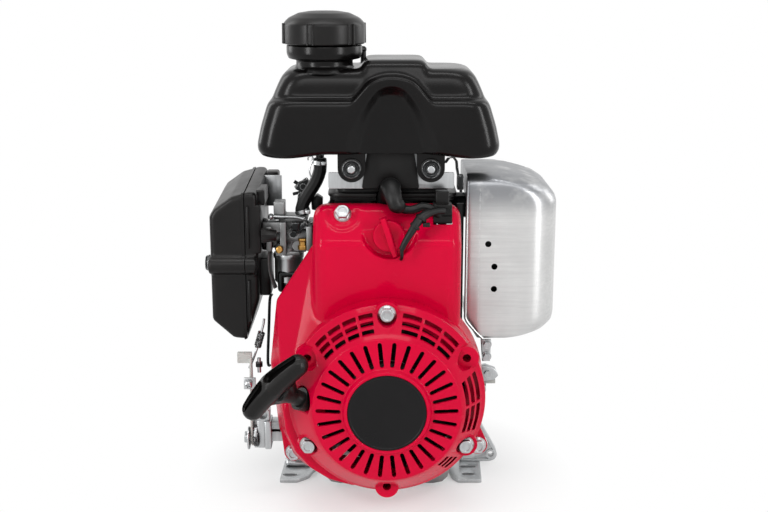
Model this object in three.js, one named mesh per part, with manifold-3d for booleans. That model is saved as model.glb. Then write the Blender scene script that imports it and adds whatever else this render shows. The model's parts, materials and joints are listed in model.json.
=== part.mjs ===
// A small air-cooled four-stroke petrol engine with a horizontal crankshaft and a rope starter.
// Millimetres. X runs to the right of the starter side, Y along the crankshaft to the output
// shaft and Z up. The origin is under the middle of the engine, on its mounting face.

import * as THREE from 'three';
import { ConvexGeometry } from 'three/addons/geometries/ConvexGeometry.js';
import { mergeVertices } from 'three/addons/utils/BufferGeometryUtils.js';
import Module from 'manifold-3d';

const wasm = await Module();
wasm.setup();

// Clearances and small shop values
const gap = 0.3;
const overrun = 4;
const weld = 0.002;
const edge = 1.5;

// How many flats stand for a round of each size
const sides = { cover: 30, large: 20, medium: 14, small: 10, tiny: 8 };

// Crank axis and cylinder axis
const crankX = 4;
const crankHeight = 105;

// Heights that are given above the crank axis
function aboveCrank(rises) {
  return Object.fromEntries(Object.entries(rises).map(([name, rise]) => [name, crankHeight + rise]));
}

const cylinderY = 6;

// Crank train
const bore = 56;
const stroke = 40;
const rodCentres = 75;
const crown = { compression: 22, skirt: 18, thickness: 5, wall: 3.5, clearance: 0.5 };
const pistonPin = { radius: 7, length: 49 };
const crankPin = { radius: 9, gap: 17.6 };
const web = { thickness: 11.7, radius: 34, pinBoss: 13 };
const rod = { thickness: 16, bigEye: 15, smallEye: 10.5, shankShare: 0.62 };
const journal = { radius: 12.5, shoulder: 16 };
const bearing = { radius: 26, width: 15, race: 4.5, seat: 5, recess: 2.5 };
const output = { radius: 7.94, end: 149.5 };
const key = { width: 4.76, depth: 2.4, length: 38, setBack: 6 };
const taper = { radius: 10, front: -76 };
const thread = { radius: 6, front: -90 };

// Crankcase, its cover and the cylinder
const crankcase = {
  left: -50, right: 58, front: -36, back: 50, ...aboveCrank({ shoulder: 52 }), corner: 14, cavity: 47,
  sealRadius: 33, sealDepth: 4, shaftHole: 14,
};
const barrel = { radius: 34, finLeft: -38, finRight: 46, finFront: -34, finBack: 46 };
const fins = { count: 5, ...aboveCrank({ first: 60 }), pitch: 10, thickness: 2.4, corner: 9, deck: 6 };
const sideCover = {
  flange: 6, domeRadius: 51, domeBack: 79, padRadius: 9, padCircle: 46, back: 88, boss: 21,
  boltHole: 3.5, boltDepth: 14, flangeInset: 2, pads: 4,
};
const head = {
  height: 31, finThickness: 2.6, finPitch: 8.4, finCount: 3, core: 30, port: 14, post: 4.5, postDrop: 7.5,
};
const headCover = {
  left: -44, right: 61, front: -40, back: 46, flange: 3, height: 8.2, corner: 12, inset: 7, skirt: 2.4,
};

// Fan housing, with the round mouth that the starter bolts to
const hood = {
  left: -55, right: 63.2, ...aboveCrank({ top: 146, bend: 121, low: 13 }), front: -78, topFront: -60,
  back: -48, wall: 1.8, round: 9, drumRadius: 76, drumFront: -98, mouth: 62, skirtBack: -40, skirtDepth: 12,
};
const volute = { front: 74, chamfer: 3, right: 79 };
const voluteLeft = {
  topX: -54, outX: -86, farX: -92, lowX: -86, ...aboveCrank({ topZ: 115, outZ: 66, farZ: 13, lowZ: -45 }),
};
const voluteFoot = { x: -76, ...aboveCrank({ z: -68 }) };
const pocket = { x: 6, ...aboveCrank({ z: 129.5 }), radius: 22, depth: 6 };
const hoodEar = { radius: 9, thickness: 3, rootShare: 0.24 };
const topBolt = { x: -31, ...aboveCrank({ z: 140.5 }) };
const leftBolt = new THREE.Vector3().copy({ x: -73, y: -66, ...aboveCrank({ z: -60 }) });
const rightBolt = new THREE.Vector3().copy({ x: 78, y: -80, ...aboveCrank({ z: -48 }) });
const flangeBolt = { flange: 7, flangeHeight: 1.8, across: 10, height: 5.5, shank: 3, length: 11 };

// Rope starter
const starter = {
  back: -98.3, rim: 77.5, rimFront: -102.5, shoulderOuter: 74.5, shoulderY: -105.5,
  edgeOuter: 60, edgeY: -125.5, faceOuter: 57.2, faceY: -128.8, faceInner: 34.5, faceInnerY: -131.4,
  ring: 32.6, front: -135, recess: 30.3, recessY: -133.2, wall: 2, post: 7, postEnd: -106,
};
const slots = { count: 30, inner: 35.5, outer: 54.8, width: 3.3, steps: 1 };
const bosses = { circle: 71.4, radius: 9.4, wall: 1.6, front: -109, hole: 3.3, first: 30, step: 60, count: 6 };
const vents = { inner: 60.6, width: 3, pitch: 4.6, rows: 3, rib: 2.2 };
const ventSpans = [
  { from: 98, to: 141, count: 4 },
  { from: 39, to: 81, count: 3 },
  { from: -20, to: 21, count: 2 },
  { from: -51, to: -39, count: 1 },
];
const badge = { radius: 30, thickness: 1.5 };
const reel = { radius: 33.5, groove: 27, front: -128, back: -109, lip: 3, bore: 7.3 };
const cup = { radius: 32, wall: 2.2, front: -101, floor: -82, nutAcross: 24, nutFront: -94 };
const guide = { x: -58, y: -113, z: -1, radius: 9, rise: 5, depth: 7, bore: 3.6 };
const pull = new THREE.Vector3(-0.682, -0.495, 0.54).normalize();
const gripAcross = new THREE.Vector3(0.674, -0.137, 0.726).normalize();
const grip = {
  reach: 42.4, length: 68, radius: 9.5, endRadius: 7.6, collar: 9, collarLength: 8, neck: 6.2, pocket: 5,
  pocketDepth: 9, rib: 2,
};
const rope = { radius: 2.2, inside: 12, hold: 24 };

// Flywheel with its fan blades
const flywheel = {
  radius: 66, front: -72, back: -46, rimWall: 13, webFront: -66, webBack: -58, hub: 21, hubFront: -75.7,
  hubBack: -42.5, bladeFront: -86, bladeInner: 40, bladeOuter: 64, bladeThickness: 3, blades: 14,
};

// Ignition
const coil = {
  left: -15, right: 23, front: -67, back: -50, ...aboveCrank({ bottom: 77, top: 101 }), leg: 10, air: 0.5,
  post: 4, leadDrop: 6,
};
const plug = {
  thread: 6, hexAcross: 16, insulator: 5, capRadius: 8.6, capLength: 30, reach: 60, elbow: 6.6,
};
const plugTip = new THREE.Vector3().copy({ x: 7.2, y: -62, ...aboveCrank({ z: 161.5 }) });
const elbowEnd = new THREE.Vector3().copy({ x: 9.5, y: -68, ...aboveCrank({ z: 149 }) });
const plugAxis = new THREE.Vector3(0.08, -0.88, 0.47).normalize();
const lead = { radius: 3.4, sides: 6, steps: 22 };
const leadBlock = {
  left: 40.5, right: 55.5, front: -67, back: -51, ...aboveCrank({ bottom: 133, top: 158 }),
};
const leadShares = [
  { x: -0.02, y: -0.15, z: 0.04 }, { x: 0.06, y: 0.1, z: -0.05 }, { x: 0.3, y: 0.02, z: -0.08 },
  { x: 0.5, y: -0.08, z: -0.04 }, { x: 0.68, y: -0.1, z: -0.09 }, { x: 0.8, y: -0.55, z: -0.22 },
  { x: 0.84, y: -0.82, z: -0.34 }, { x: 0.82, y: -0.86, z: -0.48 }, { x: 0.76, y: -0.88, z: -0.66 },
  { x: 0.64, y: -0.86, z: -0.84 }, { x: 0.48, y: -0.94, z: -0.97 }, { x: 0.315, y: -1, z: -1 },
];

// Fuel tank and its cap
const tank = {
  left: -98.6, right: 93.4, front: -68, back: 42, lift: 30, corner: 15, wall: 3.2, ridgeLeft: -15,
  ridgeRight: 35, ridgeSlope: 8, recess: 7,
};
const tankHeights = { bottom: 0, rim: 4, rimTop: 9, shoulder: 40.5, upper: 54, top: 66, ridgeTop: 73 };
const tankShares = [
  { level: 'bottom', side: 0.07, front: 0.07, back: 0.07 },
  { level: 'rim', side: 0, front: 0, back: 0 },
  { level: 'rimTop', side: 0, front: 0, back: 0 },
  { level: 'shoulder', side: 0.1, front: 0.03, back: 0.05 },
  { level: 'upper', side: 0.17, front: 0.14, back: 0.14 },
  { level: 'top', side: 0.25, front: 0.26, back: 0.34 },
];
const bell = { left: -29.5, right: 44.5, height: 54.5 };
const bellShares = [
  { x: 1, z: 0 }, { x: 0.96, z: 0.16 }, { x: 0.83, z: 0.43 }, { x: 0.62, z: 0.72 }, { x: 0.34, z: 0.94 },
  { x: 0.1, z: 1 },
];
const arch = { left: -22, right: 38, foot: 38, height: 60, setBack: 3 };
const archShares = [
  { x: 1, z: 0 }, { x: 0.9, z: 0.2 }, { x: 0.72, z: 0.5 }, { x: 0.5, z: 0.82 }, { x: 0.2, z: 1 },
];
const neck = {
  x: -45.6, y: -30, radius: 22, bore: 18, rise: 96, collar: 30, collarRise: 73, collarHeight: 10.5,
};
const cap = {
  radius: 33.4, lift: 0.8, skirt: 16.7, height: 25.7, cavity: 25, ribPairs: 6, ribWidth: 2.4, rib: 1,
};
const capAngles = { first: -17, apart: 5 };
const capShares = [{ radius: 0.94, drop: 0.7 }, { radius: 0.62, drop: 0.1 }, { radius: 0.3, drop: 0 }];
const gasket = { outer: 21.5, inner: 15, thickness: 2 };
const ear = { drop: 11.7, left: -24, right: 38.8, radius: 11, front: -56, back: -47, hole: 6.3 };
const grommet = { radius: 6, flange: 8.4, flangeDepth: 2, hole: 3.2 };
const stud = { radius: 2.9, headAcross: 8 };
const bracket = {
  left: -43, right: 58, thickness: 2.5, front: -44.4, height: 13, baseLeft: -30, baseRight: 46, back: 40,
  tab: 10,
};
const guard = { bottomLeft: -16, bottomRight: 30, topLeft: -12, topRight: 26, thickness: 1.6 };
const spigot = { x: -51, y: -15, radius: 3.4, length: 9 };
const hose = { radius: 5.4, endX: -67, endY: -14, rise: 3 };
const hoseShares = [
  { x: 0, z: 0 }, { x: 0, z: 0.2 }, { x: 0.25, z: 0.43 }, { x: 0.65, z: 0.64 }, { x: 0.95, z: 0.84 },
  { x: 1, z: 1 },
];

// Induction
const throat = {
  y: -10, ...aboveCrank({ z: 112.3 }), radius: 15, inlet: 11, bore: 8.5, left: -95.7, right: -57,
};
const carb = {
  left: -90, right: -61.4, front: -26, back: 8, ...aboveCrank({ bottom: 97, top: 127 }), corner: 4,
};
const bowl = { x: -78.6, radius: 13, height: 27.7, nut: 5, drop: 4 };
const manifold = { radius: 11.5, flange: 12.8, flangeThickness: 4, flangeLength: 48, flangeHeight: 33 };
const intakePort = { y: 6, ...aboveCrank({ z: 133 }) };
const chokeLever = {
  pivotY: -24, ...aboveCrank({ pivotZ: 116 }), length: 22, width: 6, thickness: 2, knob: 6.5, knobEnd: 4.6,
  knobSide: 5, pin: 1.6,
};
const cleaner = {
  left: -141, split: -112, right: -101.5, front: -38, back: 62, ...aboveCrank({ bottom: 28, top: 158.5 }),
  wall: 2.2, sideRound: 6,
};
const cleanerShares = [
  { x: 0, z: 0.26 }, { x: 0.28, z: 0 }, { x: 0.56, z: 0.01 }, { x: 1, z: 0.13 }, { x: 1, z: 0.85 },
  { x: 0.91, z: 0.893 }, { x: 0.55, z: 0.97 }, { x: 0.2, z: 1 }, { x: 0, z: 1 },
];
const cleanerBoss = { y: -29, ...aboveCrank({ z: 92 }), radius: 10.5, end: 1.4 };
const cleanerNut = { radius: 7, across: 11.2, end: -145.8, cover: 1.2, stud: 3, flange: 0.8 };
const filter = { corner: 5, wallGap: 4, lowShare: 0.17, topShare: 0.81 };

// Exhaust
const muffler = {
  left: 78, right: 128, front: -26, back: 43, ...aboveCrank({ bottom: 35, top: 150 }), corner: 15, endRound: 6,
  wall: 2,
};
const exhaust = {
  y: 12, radius: 11, wall: 3, flangeLength: 37, flangeHeight: 23, flangeThickness: 5, tail: 8, tailLength: 12,
  ...aboveCrank({ z: 133, tailZ: 60 }),
};
const shield = {
  left: 69, right: 145.8, front: -38, back: 50, ...aboveCrank({ bottom: 28, top: 167 }), wall: 1.2, hole: 2.6,
  returnLip: 9, openLow: 18, openHigh: 20,
};
const shieldLevelShares = [
  { z: 0, left: 0.19, right: 0.28, front: 0.05 }, { z: 0.04, left: 0.14, right: 0.11, front: 0.01 },
  { z: 0.09, left: 0.06, right: 0.01, front: 0 }, { z: 0.13, left: 0, right: 0, front: 0 },
  { z: 0.82, left: 0, right: 0, front: 0 }, { z: 0.94, left: 0, right: 0.22, front: 0 },
  { z: 1, left: 0, right: 0.58, front: 0.06 },
];
const shieldCornerShares = [{ x: 0.33, y: 0 }, { x: 0.14, y: 0.07 }, { x: 0.03, y: 0.2 }, { x: 0, y: 0.36 }];
const shieldHoles = [
  { x: 87, ...aboveCrank({ z: 110 }) }, { x: 92.4, ...aboveCrank({ z: 91 }) },
  { x: 92.4, ...aboveCrank({ z: 72 }) },
];

// Feet and the gusset on the right one
const foot = {
  thickness: 3, front: -28, back: 62, leftOuter: -89, leftInner: -30, rightInner: 38, rightOuter: 87,
  corner: 5,
};
const footSlot = { length: 19, width: 9, leftX: -77, rightX: 74, front: -12, back: 40 };
const gusset = {
  front: 13, thickness: 3, left: 66, right: 104, top: 43, shoulder: 20, low: 9, hole: 3.4, square: 7,
  holeInset: 10.8, squareInset: 12.6, topInset: 14.4,
};

// Controls on the left side and the oil filler on the right one
const control = {
  pivotY: -46, ...aboveCrank({ pivotZ: -53 }), radius: 11, x: -104.5, plate: 2.4, tube: 4.5, bolt: 3.2,
};
const controlTab = { right: -93.5, ...aboveCrank({ bottom: -49, top: -32 }), hole: 3.4, holeInset: 5.4 };
const controlLever = { clear: 1, thickness: 1.8, width: 9, reach: 64, bladeReach: 12, bladeHeight: 9 };
const governor = {
  x: -57, y: 24, ...aboveCrank({ z: -9 }), rise: 90, lean: -20, root: 6.4, width: 8, thickness: 2, shaft: 3.4,
};
const oilFiller = { y: 12, ...aboveCrank({ z: -23 }), boss: 13, end: 84, bore: 8 };
const oilCap = { radius: 11.5, thickness: 7, grip: 3, gripHeight: 8, plugRadius: 7.4, plugLength: 14 };

// Values that follow from the ones above
const wristHeight = crankHeight + stroke / 2 + rodCentres;
const deckHeight = wristHeight + crown.compression + crown.clearance;
const headBottom = deckHeight + gap;
const headTop = headBottom + head.height;
const headCoverTop = headTop + headCover.height;
const tankBottom = headCoverTop + tank.lift;
const tankLevels = Object.fromEntries(
  Object.entries(tankHeights).map(([name, height]) => [name, tankBottom + height]),
);
const neckTop = tankBottom + neck.rise;
const collarBottom = tankBottom + neck.collarRise;
const collarTop = collarBottom + neck.collarHeight;
const capBottom = collarTop + cap.lift;
const earZ = tankBottom - ear.drop;
const leverFace = control.x - control.plate - controlLever.clear;
const leverTop = control.pivotZ + controlLever.reach;
const knobFloor = hood.front + pocket.depth;
const caseBottom = foot.thickness + gap;
const pistonRadius = bore / 2 - gap * 2;
const halfPinGap = crankPin.gap / 2;
const frontBearingY = crankcase.front + bearing.seat;
const rearBearingY = crankcase.back + bearing.recess;

// Turns a geometry into welded triangles that face out
function welded(geometry) {
  const bare = geometry.clone();
  bare.deleteAttribute('normal');
  bare.deleteAttribute('uv');
  const merged = mergeVertices(bare, weld);
  const corners = merged.index.array;
  const places = merged.attributes.position.array;
  const kept = [];
  for (let i = 0; i < corners.length; i += 3) {
    const [a, b, c] = [corners[i], corners[i + 1], corners[i + 2]];
    if (a !== b && b !== c && c !== a) kept.push(a, b, c);
  }
  return facingOut(places, kept);
}

// Reverses the triangles where they enclose a negative volume
function facingOut(places, corners) {
  const a = new THREE.Vector3();
  const b = new THREE.Vector3();
  const c = new THREE.Vector3();
  let volume = 0;
  for (let i = 0; i < corners.length; i += 3) {
    a.fromArray(places, corners[i] * 3);
    b.fromArray(places, corners[i + 1] * 3);
    c.fromArray(places, corners[i + 2] * 3);
    volume += a.dot(b.cross(c));
  }
  return { places, corners: volume < 0 ? corners.reverse() : corners };
}

// A geometry as a solid that can be joined and cut
function solid(geometry) {
  const { places, corners } = welded(geometry);
  const mesh = new wasm.Mesh({
    numProp: 3,
    vertProperties: new Float32Array(places),
    triVerts: new Uint32Array(corners),
  });
  return new wasm.Manifold(mesh);
}

function join(...bodies) {
  return bodies.reduce((whole, body) => whole.add(body));
}

function cut(whole, ...tools) {
  return tools.reduce((rest, tool) => rest.subtract(tool), whole);
}

// A joined or cut solid as a geometry again
function surface(body) {
  const mesh = body.getMesh();
  const geometry = new THREE.BufferGeometry();
  geometry.setAttribute('position', new THREE.BufferAttribute(mesh.vertProperties, mesh.numProp));
  geometry.setIndex(new THREE.BufferAttribute(mesh.triVerts, 1));
  geometry.computeVertexNormals();
  return geometry;
}

// Outlines
function polar(radius, degrees) {
  const angle = THREE.MathUtils.degToRad(degrees);
  return new THREE.Vector2(radius * Math.cos(angle), radius * Math.sin(angle));
}

function circle(radius, sides, x = 0, y = 0) {
  const centre = new THREE.Vector2(x, y);
  return Array.from({ length: sides }, (_, i) => polar(radius, (360 * i) / sides).add(centre));
}

// The radius of a hole with this many flats that a round of the given radius turns in
function roomFor(radius, count) {
  return radius / Math.cos(Math.PI / count);
}

function rectangle(left, right, bottom, top) {
  return [[left, bottom], [right, bottom], [right, top], [left, top]].map((p) => new THREE.Vector2(...p));
}

// Each corner becomes an arc of a few steps, limited by the sides that meet there
function roundCorners(outline, radius, steps = 3) {
  const rounded = [];
  outline.forEach((corner, i) => {
    const before = outline.at(i - 1).clone().sub(corner);
    const after = outline[(i + 1) % outline.length].clone().sub(corner);
    const reach = Math.min(radius, before.length() / 2.1, after.length() / 2.1);
    const from = corner.clone().addScaledVector(before.normalize(), reach);
    const to = corner.clone().addScaledVector(after.normalize(), reach);
    for (let s = 0; s <= steps; s++) {
      const curve = new THREE.QuadraticBezierCurve(from, corner, to);
      rounded.push(curve.getPoint(s / steps));
    }
  });
  return rounded;
}

function roundedRectangle(left, right, bottom, top, radius, steps = 3) {
  return roundCorners(rectangle(left, right, bottom, top), radius, steps);
}

// A convex outline, drawn anticlockwise, with every side moved inwards
function shrink(outline, distance) {
  return outline.map((corner, i) => {
    const arriving = corner.clone().sub(outline.at(i - 1)).normalize();
    const leaving = outline[(i + 1) % outline.length].clone().sub(corner).normalize();
    const inward = new THREE.Vector2(-arriving.y - leaving.y, arriving.x + leaving.x);
    return corner.clone().addScaledVector(inward, distance / (1 + arriving.dot(leaving)));
  });
}

// A table of shares mirrored about the middle between two sides, from one height up
function mirrored(shares, left, right, bottom, height) {
  const middle = (left + right) / 2;
  const half = (right - left) / 2;
  const side = (reach) => shares.map((p) => new THREE.Vector2(middle + reach * p.x, bottom + height * p.z));
  return [...side(half), ...side(-half).reverse()];
}

// A slot with round ends, along the outline's X axis
function stadium(x, y, length, width, steps = 4) {
  const radius = width / 2;
  const half = length / 2 - radius;
  const right = [];
  const left = [];
  for (let s = 0; s <= steps; s++) {
    right.push(polar(radius, -90 + (180 * s) / steps).add(new THREE.Vector2(x + half, y)));
    left.push(polar(radius, 90 + (180 * s) / steps).add(new THREE.Vector2(x - half, y)));
  }
  return [...right, ...left];
}

// Part of a ring between two radii and two directions
function ringSector(inner, outer, from, to, steps) {
  const far = [];
  const near = [];
  for (let s = 0; s <= steps; s++) {
    const degrees = from + ((to - from) * s) / steps;
    far.push(polar(outer, degrees));
    near.unshift(polar(inner, degrees));
  }
  return [...far, ...near];
}

function hexagon(across, x = 0, y = 0) {
  return circle(across / Math.sqrt(3), 6, x, y);
}

// Prisms: an outline in the plane across the named axis, from one place to another along it
function prismZ(outline, from, to, holes = []) {
  const shape = new THREE.Shape(outline);
  shape.holes = holes.map((hole) => new THREE.Path(hole));
  const options = { depth: to - from, bevelEnabled: false };
  return new THREE.ExtrudeGeometry(shape, options).translate(0, 0, from);
}

function prismY(outline, from, to, holes = []) {
  return prismZ(outline, -to, -from, holes).rotateX(Math.PI / 2);
}

function prismX(outline, from, to, holes = []) {
  return prismZ(outline, from, to, holes).rotateY(Math.PI / 2).rotateX(Math.PI / 2);
}

function box(left, right, front, back, bottom, top) {
  return prismZ(rectangle(left, right, front, back), bottom, top);
}

// Solids of revolution: a profile of radius and place along the axis
function revolveY(profile, segments) {
  return new THREE.LatheGeometry(profile.map((p) => new THREE.Vector2(...p)), segments);
}

function revolveZ(profile, segments) {
  return revolveY(profile, segments).rotateX(Math.PI / 2);
}

const up = new THREE.Vector3(0, 1, 0);

// A round bar, or a cone, between two points
function bar(from, to, radius, sides = 16, endRadius = radius) {
  const along = to.clone().sub(from);
  const turn = new THREE.Quaternion().setFromUnitVectors(up, along.clone().normalize());
  const middle = from.clone().addScaledVector(along, 0.5);
  const geometry = new THREE.CylinderGeometry(endRadius, radius, along.length(), sides);
  return geometry.applyQuaternion(turn).translate(middle.x, middle.y, middle.z);
}

function barX(from, to, y, z, radius, sides = 16, endRadius = radius) {
  return bar(new THREE.Vector3(from, y, z), new THREE.Vector3(to, y, z), radius, sides, endRadius);
}

function barY(from, to, x, z, radius, sides = 16, endRadius = radius) {
  return bar(new THREE.Vector3(x, from, z), new THREE.Vector3(x, to, z), radius, sides, endRadius);
}

function barZ(from, to, x, y, radius, sides = 16, endRadius = radius) {
  return bar(new THREE.Vector3(x, y, from), new THREE.Vector3(x, y, to), radius, sides, endRadius);
}

// A round section carried along a smooth curve
function tube(points, radius, sides, steps) {
  const path = new THREE.CatmullRomCurve3(points);
  const section = new THREE.Shape(circle(radius, sides));
  return new THREE.ExtrudeGeometry(section, { steps, extrudePath: path, bevelEnabled: false });
}

// Outlines with the same number of points, stacked along Z and skinned
function loftZ(sections) {
  const count = sections[0].outline.length;
  const places = sections.flatMap(({ outline, z }) => outline.flatMap((p) => [p.x, p.y, z]));
  const corners = [];
  for (let level = 0; level + 1 < sections.length; level++) {
    for (let i = 0; i < count; i++) {
      const a = level * count + i;
      const b = level * count + ((i + 1) % count);
      corners.push(a, b, b + count, a, b + count, a + count);
    }
  }
  const last = (sections.length - 1) * count;
  for (const [a, b, c] of THREE.ShapeUtils.triangulateShape(sections[0].outline, [])) corners.push(c, b, a);
  for (const [a, b, c] of THREE.ShapeUtils.triangulateShape(sections.at(-1).outline, [])) {
    corners.push(last + a, last + b, last + c);
  }
  const geometry = new THREE.BufferGeometry();
  geometry.setAttribute('position', new THREE.Float32BufferAttribute(places, 3));
  geometry.setIndex(corners);
  return geometry;
}

// The smallest skin round a set of balls: a block with every edge rounded
function roundedHull(centres, radius) {
  return new ConvexGeometry(centres.flatMap((centre) => ballPoints(centre, radius)));
}

function ballPoints(centre, radius) {
  const places = new THREE.SphereGeometry(radius, sides.tiny, sides.tiny - 2).attributes.position;
  const point = (i) => new THREE.Vector3().fromBufferAttribute(places, i).add(centre);
  return Array.from({ length: places.count }, (_, i) => point(i));
}

function hull(points) {
  return new ConvexGeometry(points);
}

// A point in the outline plane as a point in space at a place along Y
function atY(point, y) {
  return new THREE.Vector3(point.x, y, point.y);
}

const origin = new THREE.Vector2();

function atX(point, x) {
  return new THREE.Vector3(x, point.x, point.y);
}

// Crank train

function crankWeb(from, to) {
  const counterweight = circle(web.radius, sides.medium).filter((p) => p.y < web.pinBoss / 2);
  const boss = circle(web.pinBoss, sides.small, 0, stroke / 2);
  return hull([...counterweight, ...boss].flatMap((p) => [atY(p, from), atY(p, to)]));
}

function crankshaftFront() {
  const back = cylinderY - halfPinGap;
  const front = back - web.thickness;
  return join(
    solid(crankWeb(front, back)),
    solid(revolveY([
      [0, back - edge], [journal.shoulder, back - edge], [journal.shoulder, front - edge],
      [journal.radius, front - edge], [journal.radius, crankcase.front - crankcase.sealDepth - gap],
      [taper.radius, crankcase.front - crankcase.sealDepth - edge], [taper.radius, taper.front],
      [thread.radius, taper.front], [thread.radius, thread.front], [0, thread.front],
    ], sides.medium)),
  );
}

function crankshaftRear() {
  const front = cylinderY + halfPinGap;
  const back = front + web.thickness;
  const keyway = box(
    -key.width / 2, key.width / 2,
    output.end - key.length - key.setBack, output.end + overrun,
    output.radius - key.depth, output.radius + overrun,
  );
  return cut(
    join(
      solid(crankWeb(front, back)),
      solid(revolveY([
        [0, front + edge], [journal.shoulder, front + edge], [journal.shoulder, back + edge],
        [journal.radius, back + edge],
        [journal.radius, rearBearingY + bearing.width], [output.radius, rearBearingY + bearing.width],
        [output.radius, output.end - edge], [output.radius - edge, output.end], [0, output.end],
      ], sides.medium)),
    ),
    solid(keyway),
  );
}

function shaftKey() {
  const half = key.width / 2 - gap;
  const bottom = output.radius - key.depth + gap;
  const back = output.end - key.setBack;
  return solid(box(-half, half, back - key.length + gap, back, bottom, bottom + key.width));
}

function pistonBody() {
  const top = crown.compression;
  const bottom = -crown.skirt;
  const cavity = pistonRadius - crown.wall;
  const shell = cut(
    solid(barZ(bottom, top, 0, 0, pistonRadius, sides.medium)),
    solid(barZ(bottom - overrun, top - crown.thickness, 0, 0, cavity, sides.medium)),
  );
  const bossReach = pistonRadius - crown.wall / 2;
  const rodRoom = rod.thickness / 2 + gap * 2;
  const pinBosses = cut(
    solid(barY(-bossReach, bossReach, 0, 0, pistonPin.radius + crown.wall, sides.small)),
    solid(barY(-rodRoom, rodRoom, 0, 0, pistonRadius, sides.medium)),
  );
  return cut(
    join(shell, pinBosses),
    solid(barY(-bore, bore, 0, 0, pistonPin.radius + gap, sides.small)),
  );
}

function pistonPinBody() {
  return solid(barY(-pistonPin.length / 2, pistonPin.length / 2, 0, 0, pistonPin.radius, sides.small));
}

// The rod hangs from the piston pin, which is its origin
function connectingRod() {
  const half = rod.thickness / 2;
  const shankTop = circle(rod.smallEye * rod.shankShare, sides.tiny).map((p) => atY(p, 0));
  const shankBottom = circle(rod.bigEye * rod.shankShare, sides.tiny, 0, -rodCentres).map((p) => atY(p, 0));
  const shank = [...shankTop, ...shankBottom].flatMap((p) => [
    p.clone().setY(-half * rod.shankShare), p.clone().setY(half * rod.shankShare),
  ]);
  return cut(
    join(
      solid(barY(-half, half, 0, 0, rod.smallEye, sides.small)),
      solid(barY(-half, half, 0, -rodCentres, rod.bigEye, sides.medium)),
      solid(hull(shank)),
    ),
    solid(barY(-bore, bore, 0, 0, roomFor(pistonPin.radius + gap, sides.small), sides.small)),
    solid(barY(-bore, bore, 0, -rodCentres, crankPin.radius + gap, sides.medium)),
  );
}

function crankPinBody() {
  const half = halfPinGap - gap;
  return solid(barY(-half, half, 0, -rodCentres, crankPin.radius, sides.medium));
}

function ballBearing(front) {
  const back = front + bearing.width;
  const inner = roomFor(journal.radius + gap, sides.medium);
  return solid(revolveY([
    [inner, front], [inner + bearing.race, front], [inner + bearing.race, front + edge],
    [bearing.radius - bearing.race, front + edge], [bearing.radius - bearing.race, front],
    [bearing.radius, front], [bearing.radius, back], [inner, back], [inner, front],
  ], sides.medium));
}

// Crankcase and cylinder

function coolingFins() {
  const slabs = [];
  for (let i = 0; i < fins.count; i++) {
    const bottom = fins.first + i * fins.pitch;
    slabs.push(solid(prismZ(finOutline(), bottom, bottom + fins.thickness)));
  }
  slabs.push(solid(prismZ(finOutline(), deckHeight - fins.deck, deckHeight)));
  return slabs;
}

function finOutline() {
  return roundedRectangle(barrel.finLeft, barrel.finRight, barrel.finFront, barrel.finBack, fins.corner, 1);
}

// A cast arm from the crankcase out to the back of a hood bolt, or the room it needs
function hoodArm(bolt, side, spread = 0) {
  const tip = circle(hoodEar.radius - edge + spread, sides.small, bolt.x, bolt.z);
  const front = bolt.y + hoodEar.thickness + gap - spread;
  const half = hoodEar.radius + spread;
  const root = rectangle(side - overrun, side + overrun, bolt.z - half, bolt.z + half);
  const rootFront = crankcase.front + edge - spread;
  return solid(hull([
    ...tip.flatMap((p) => [atY(p, front), atY(p, front + hoodEar.radius)]),
    ...root.flatMap((p) => [atY(p, rootFront), atY(p, crankcase.front + hoodEar.radius * 2)]),
  ]));
}

function leftArm(spread) {
  return hoodArm(leftBolt, crankcase.left + overrun, spread);
}

function rightArm(spread) {
  return hoodArm(rightBolt, crankcase.right - overrun, spread);
}

function crankcaseBody() {
  const c = crankcase;
  const outline = roundedRectangle(c.left, c.right, caseBottom, c.shoulder, c.corner);
  const cavityFront = cylinderY - halfPinGap - web.thickness - gap * 2;
  const postZ = coil.bottom + coil.leg / 2;
  const posts = [coil.left + coil.leg / 2, coil.right - coil.leg / 2].map((x) => (
    solid(barY(coil.back + gap, cylinderY - barrel.radius / 2, x, postZ, coil.post, sides.tiny))
  ));
  const filler = (from, to, radius) => solid(barX(from, to, oilFiller.y, oilFiller.z, radius, sides.small));
  const body = join(
    solid(prismY(outline, c.front, c.back)),
    onCrank(c.front - c.sealDepth, c.front + edge, c.sealRadius, sides.medium),
    solid(barZ(c.shoulder - c.corner, deckHeight - edge, crankX, cylinderY, barrel.radius, sides.medium)),
    ...coolingFins(),
    ...posts,
    filler(c.right - overrun, oilFiller.end, oilFiller.boss),
    leftArm(0),
    rightArm(0),
  );
  return cut(
    body,
    onCrank(cavityFront, c.back + overrun, c.cavity, sides.large),
    onCrank(frontBearingY - gap, cavityFront + overrun, bearing.radius + gap, sides.medium),
    onCrank(c.front - overrun * 2, cavityFront, c.shaftHole, sides.medium),
    solid(barZ(crankHeight, deckHeight + overrun, crankX, cylinderY, bore / 2, sides.medium)),
    filler(crankX, oilFiller.end + overrun, oilFiller.bore),
    ...[leftBolt, rightBolt].map(boltHole),
  );
}

// A round bar on the crank axis
function onCrank(from, to, radius, segments) {
  return solid(barY(from, to, crankX, crankHeight, radius, segments));
}

function boltHole(bolt) {
  const depth = flangeBolt.length + overrun;
  return solid(barY(bolt.y - overrun, bolt.y + depth, bolt.x, bolt.z, flangeBolt.shank + gap, sides.tiny));
}

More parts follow.
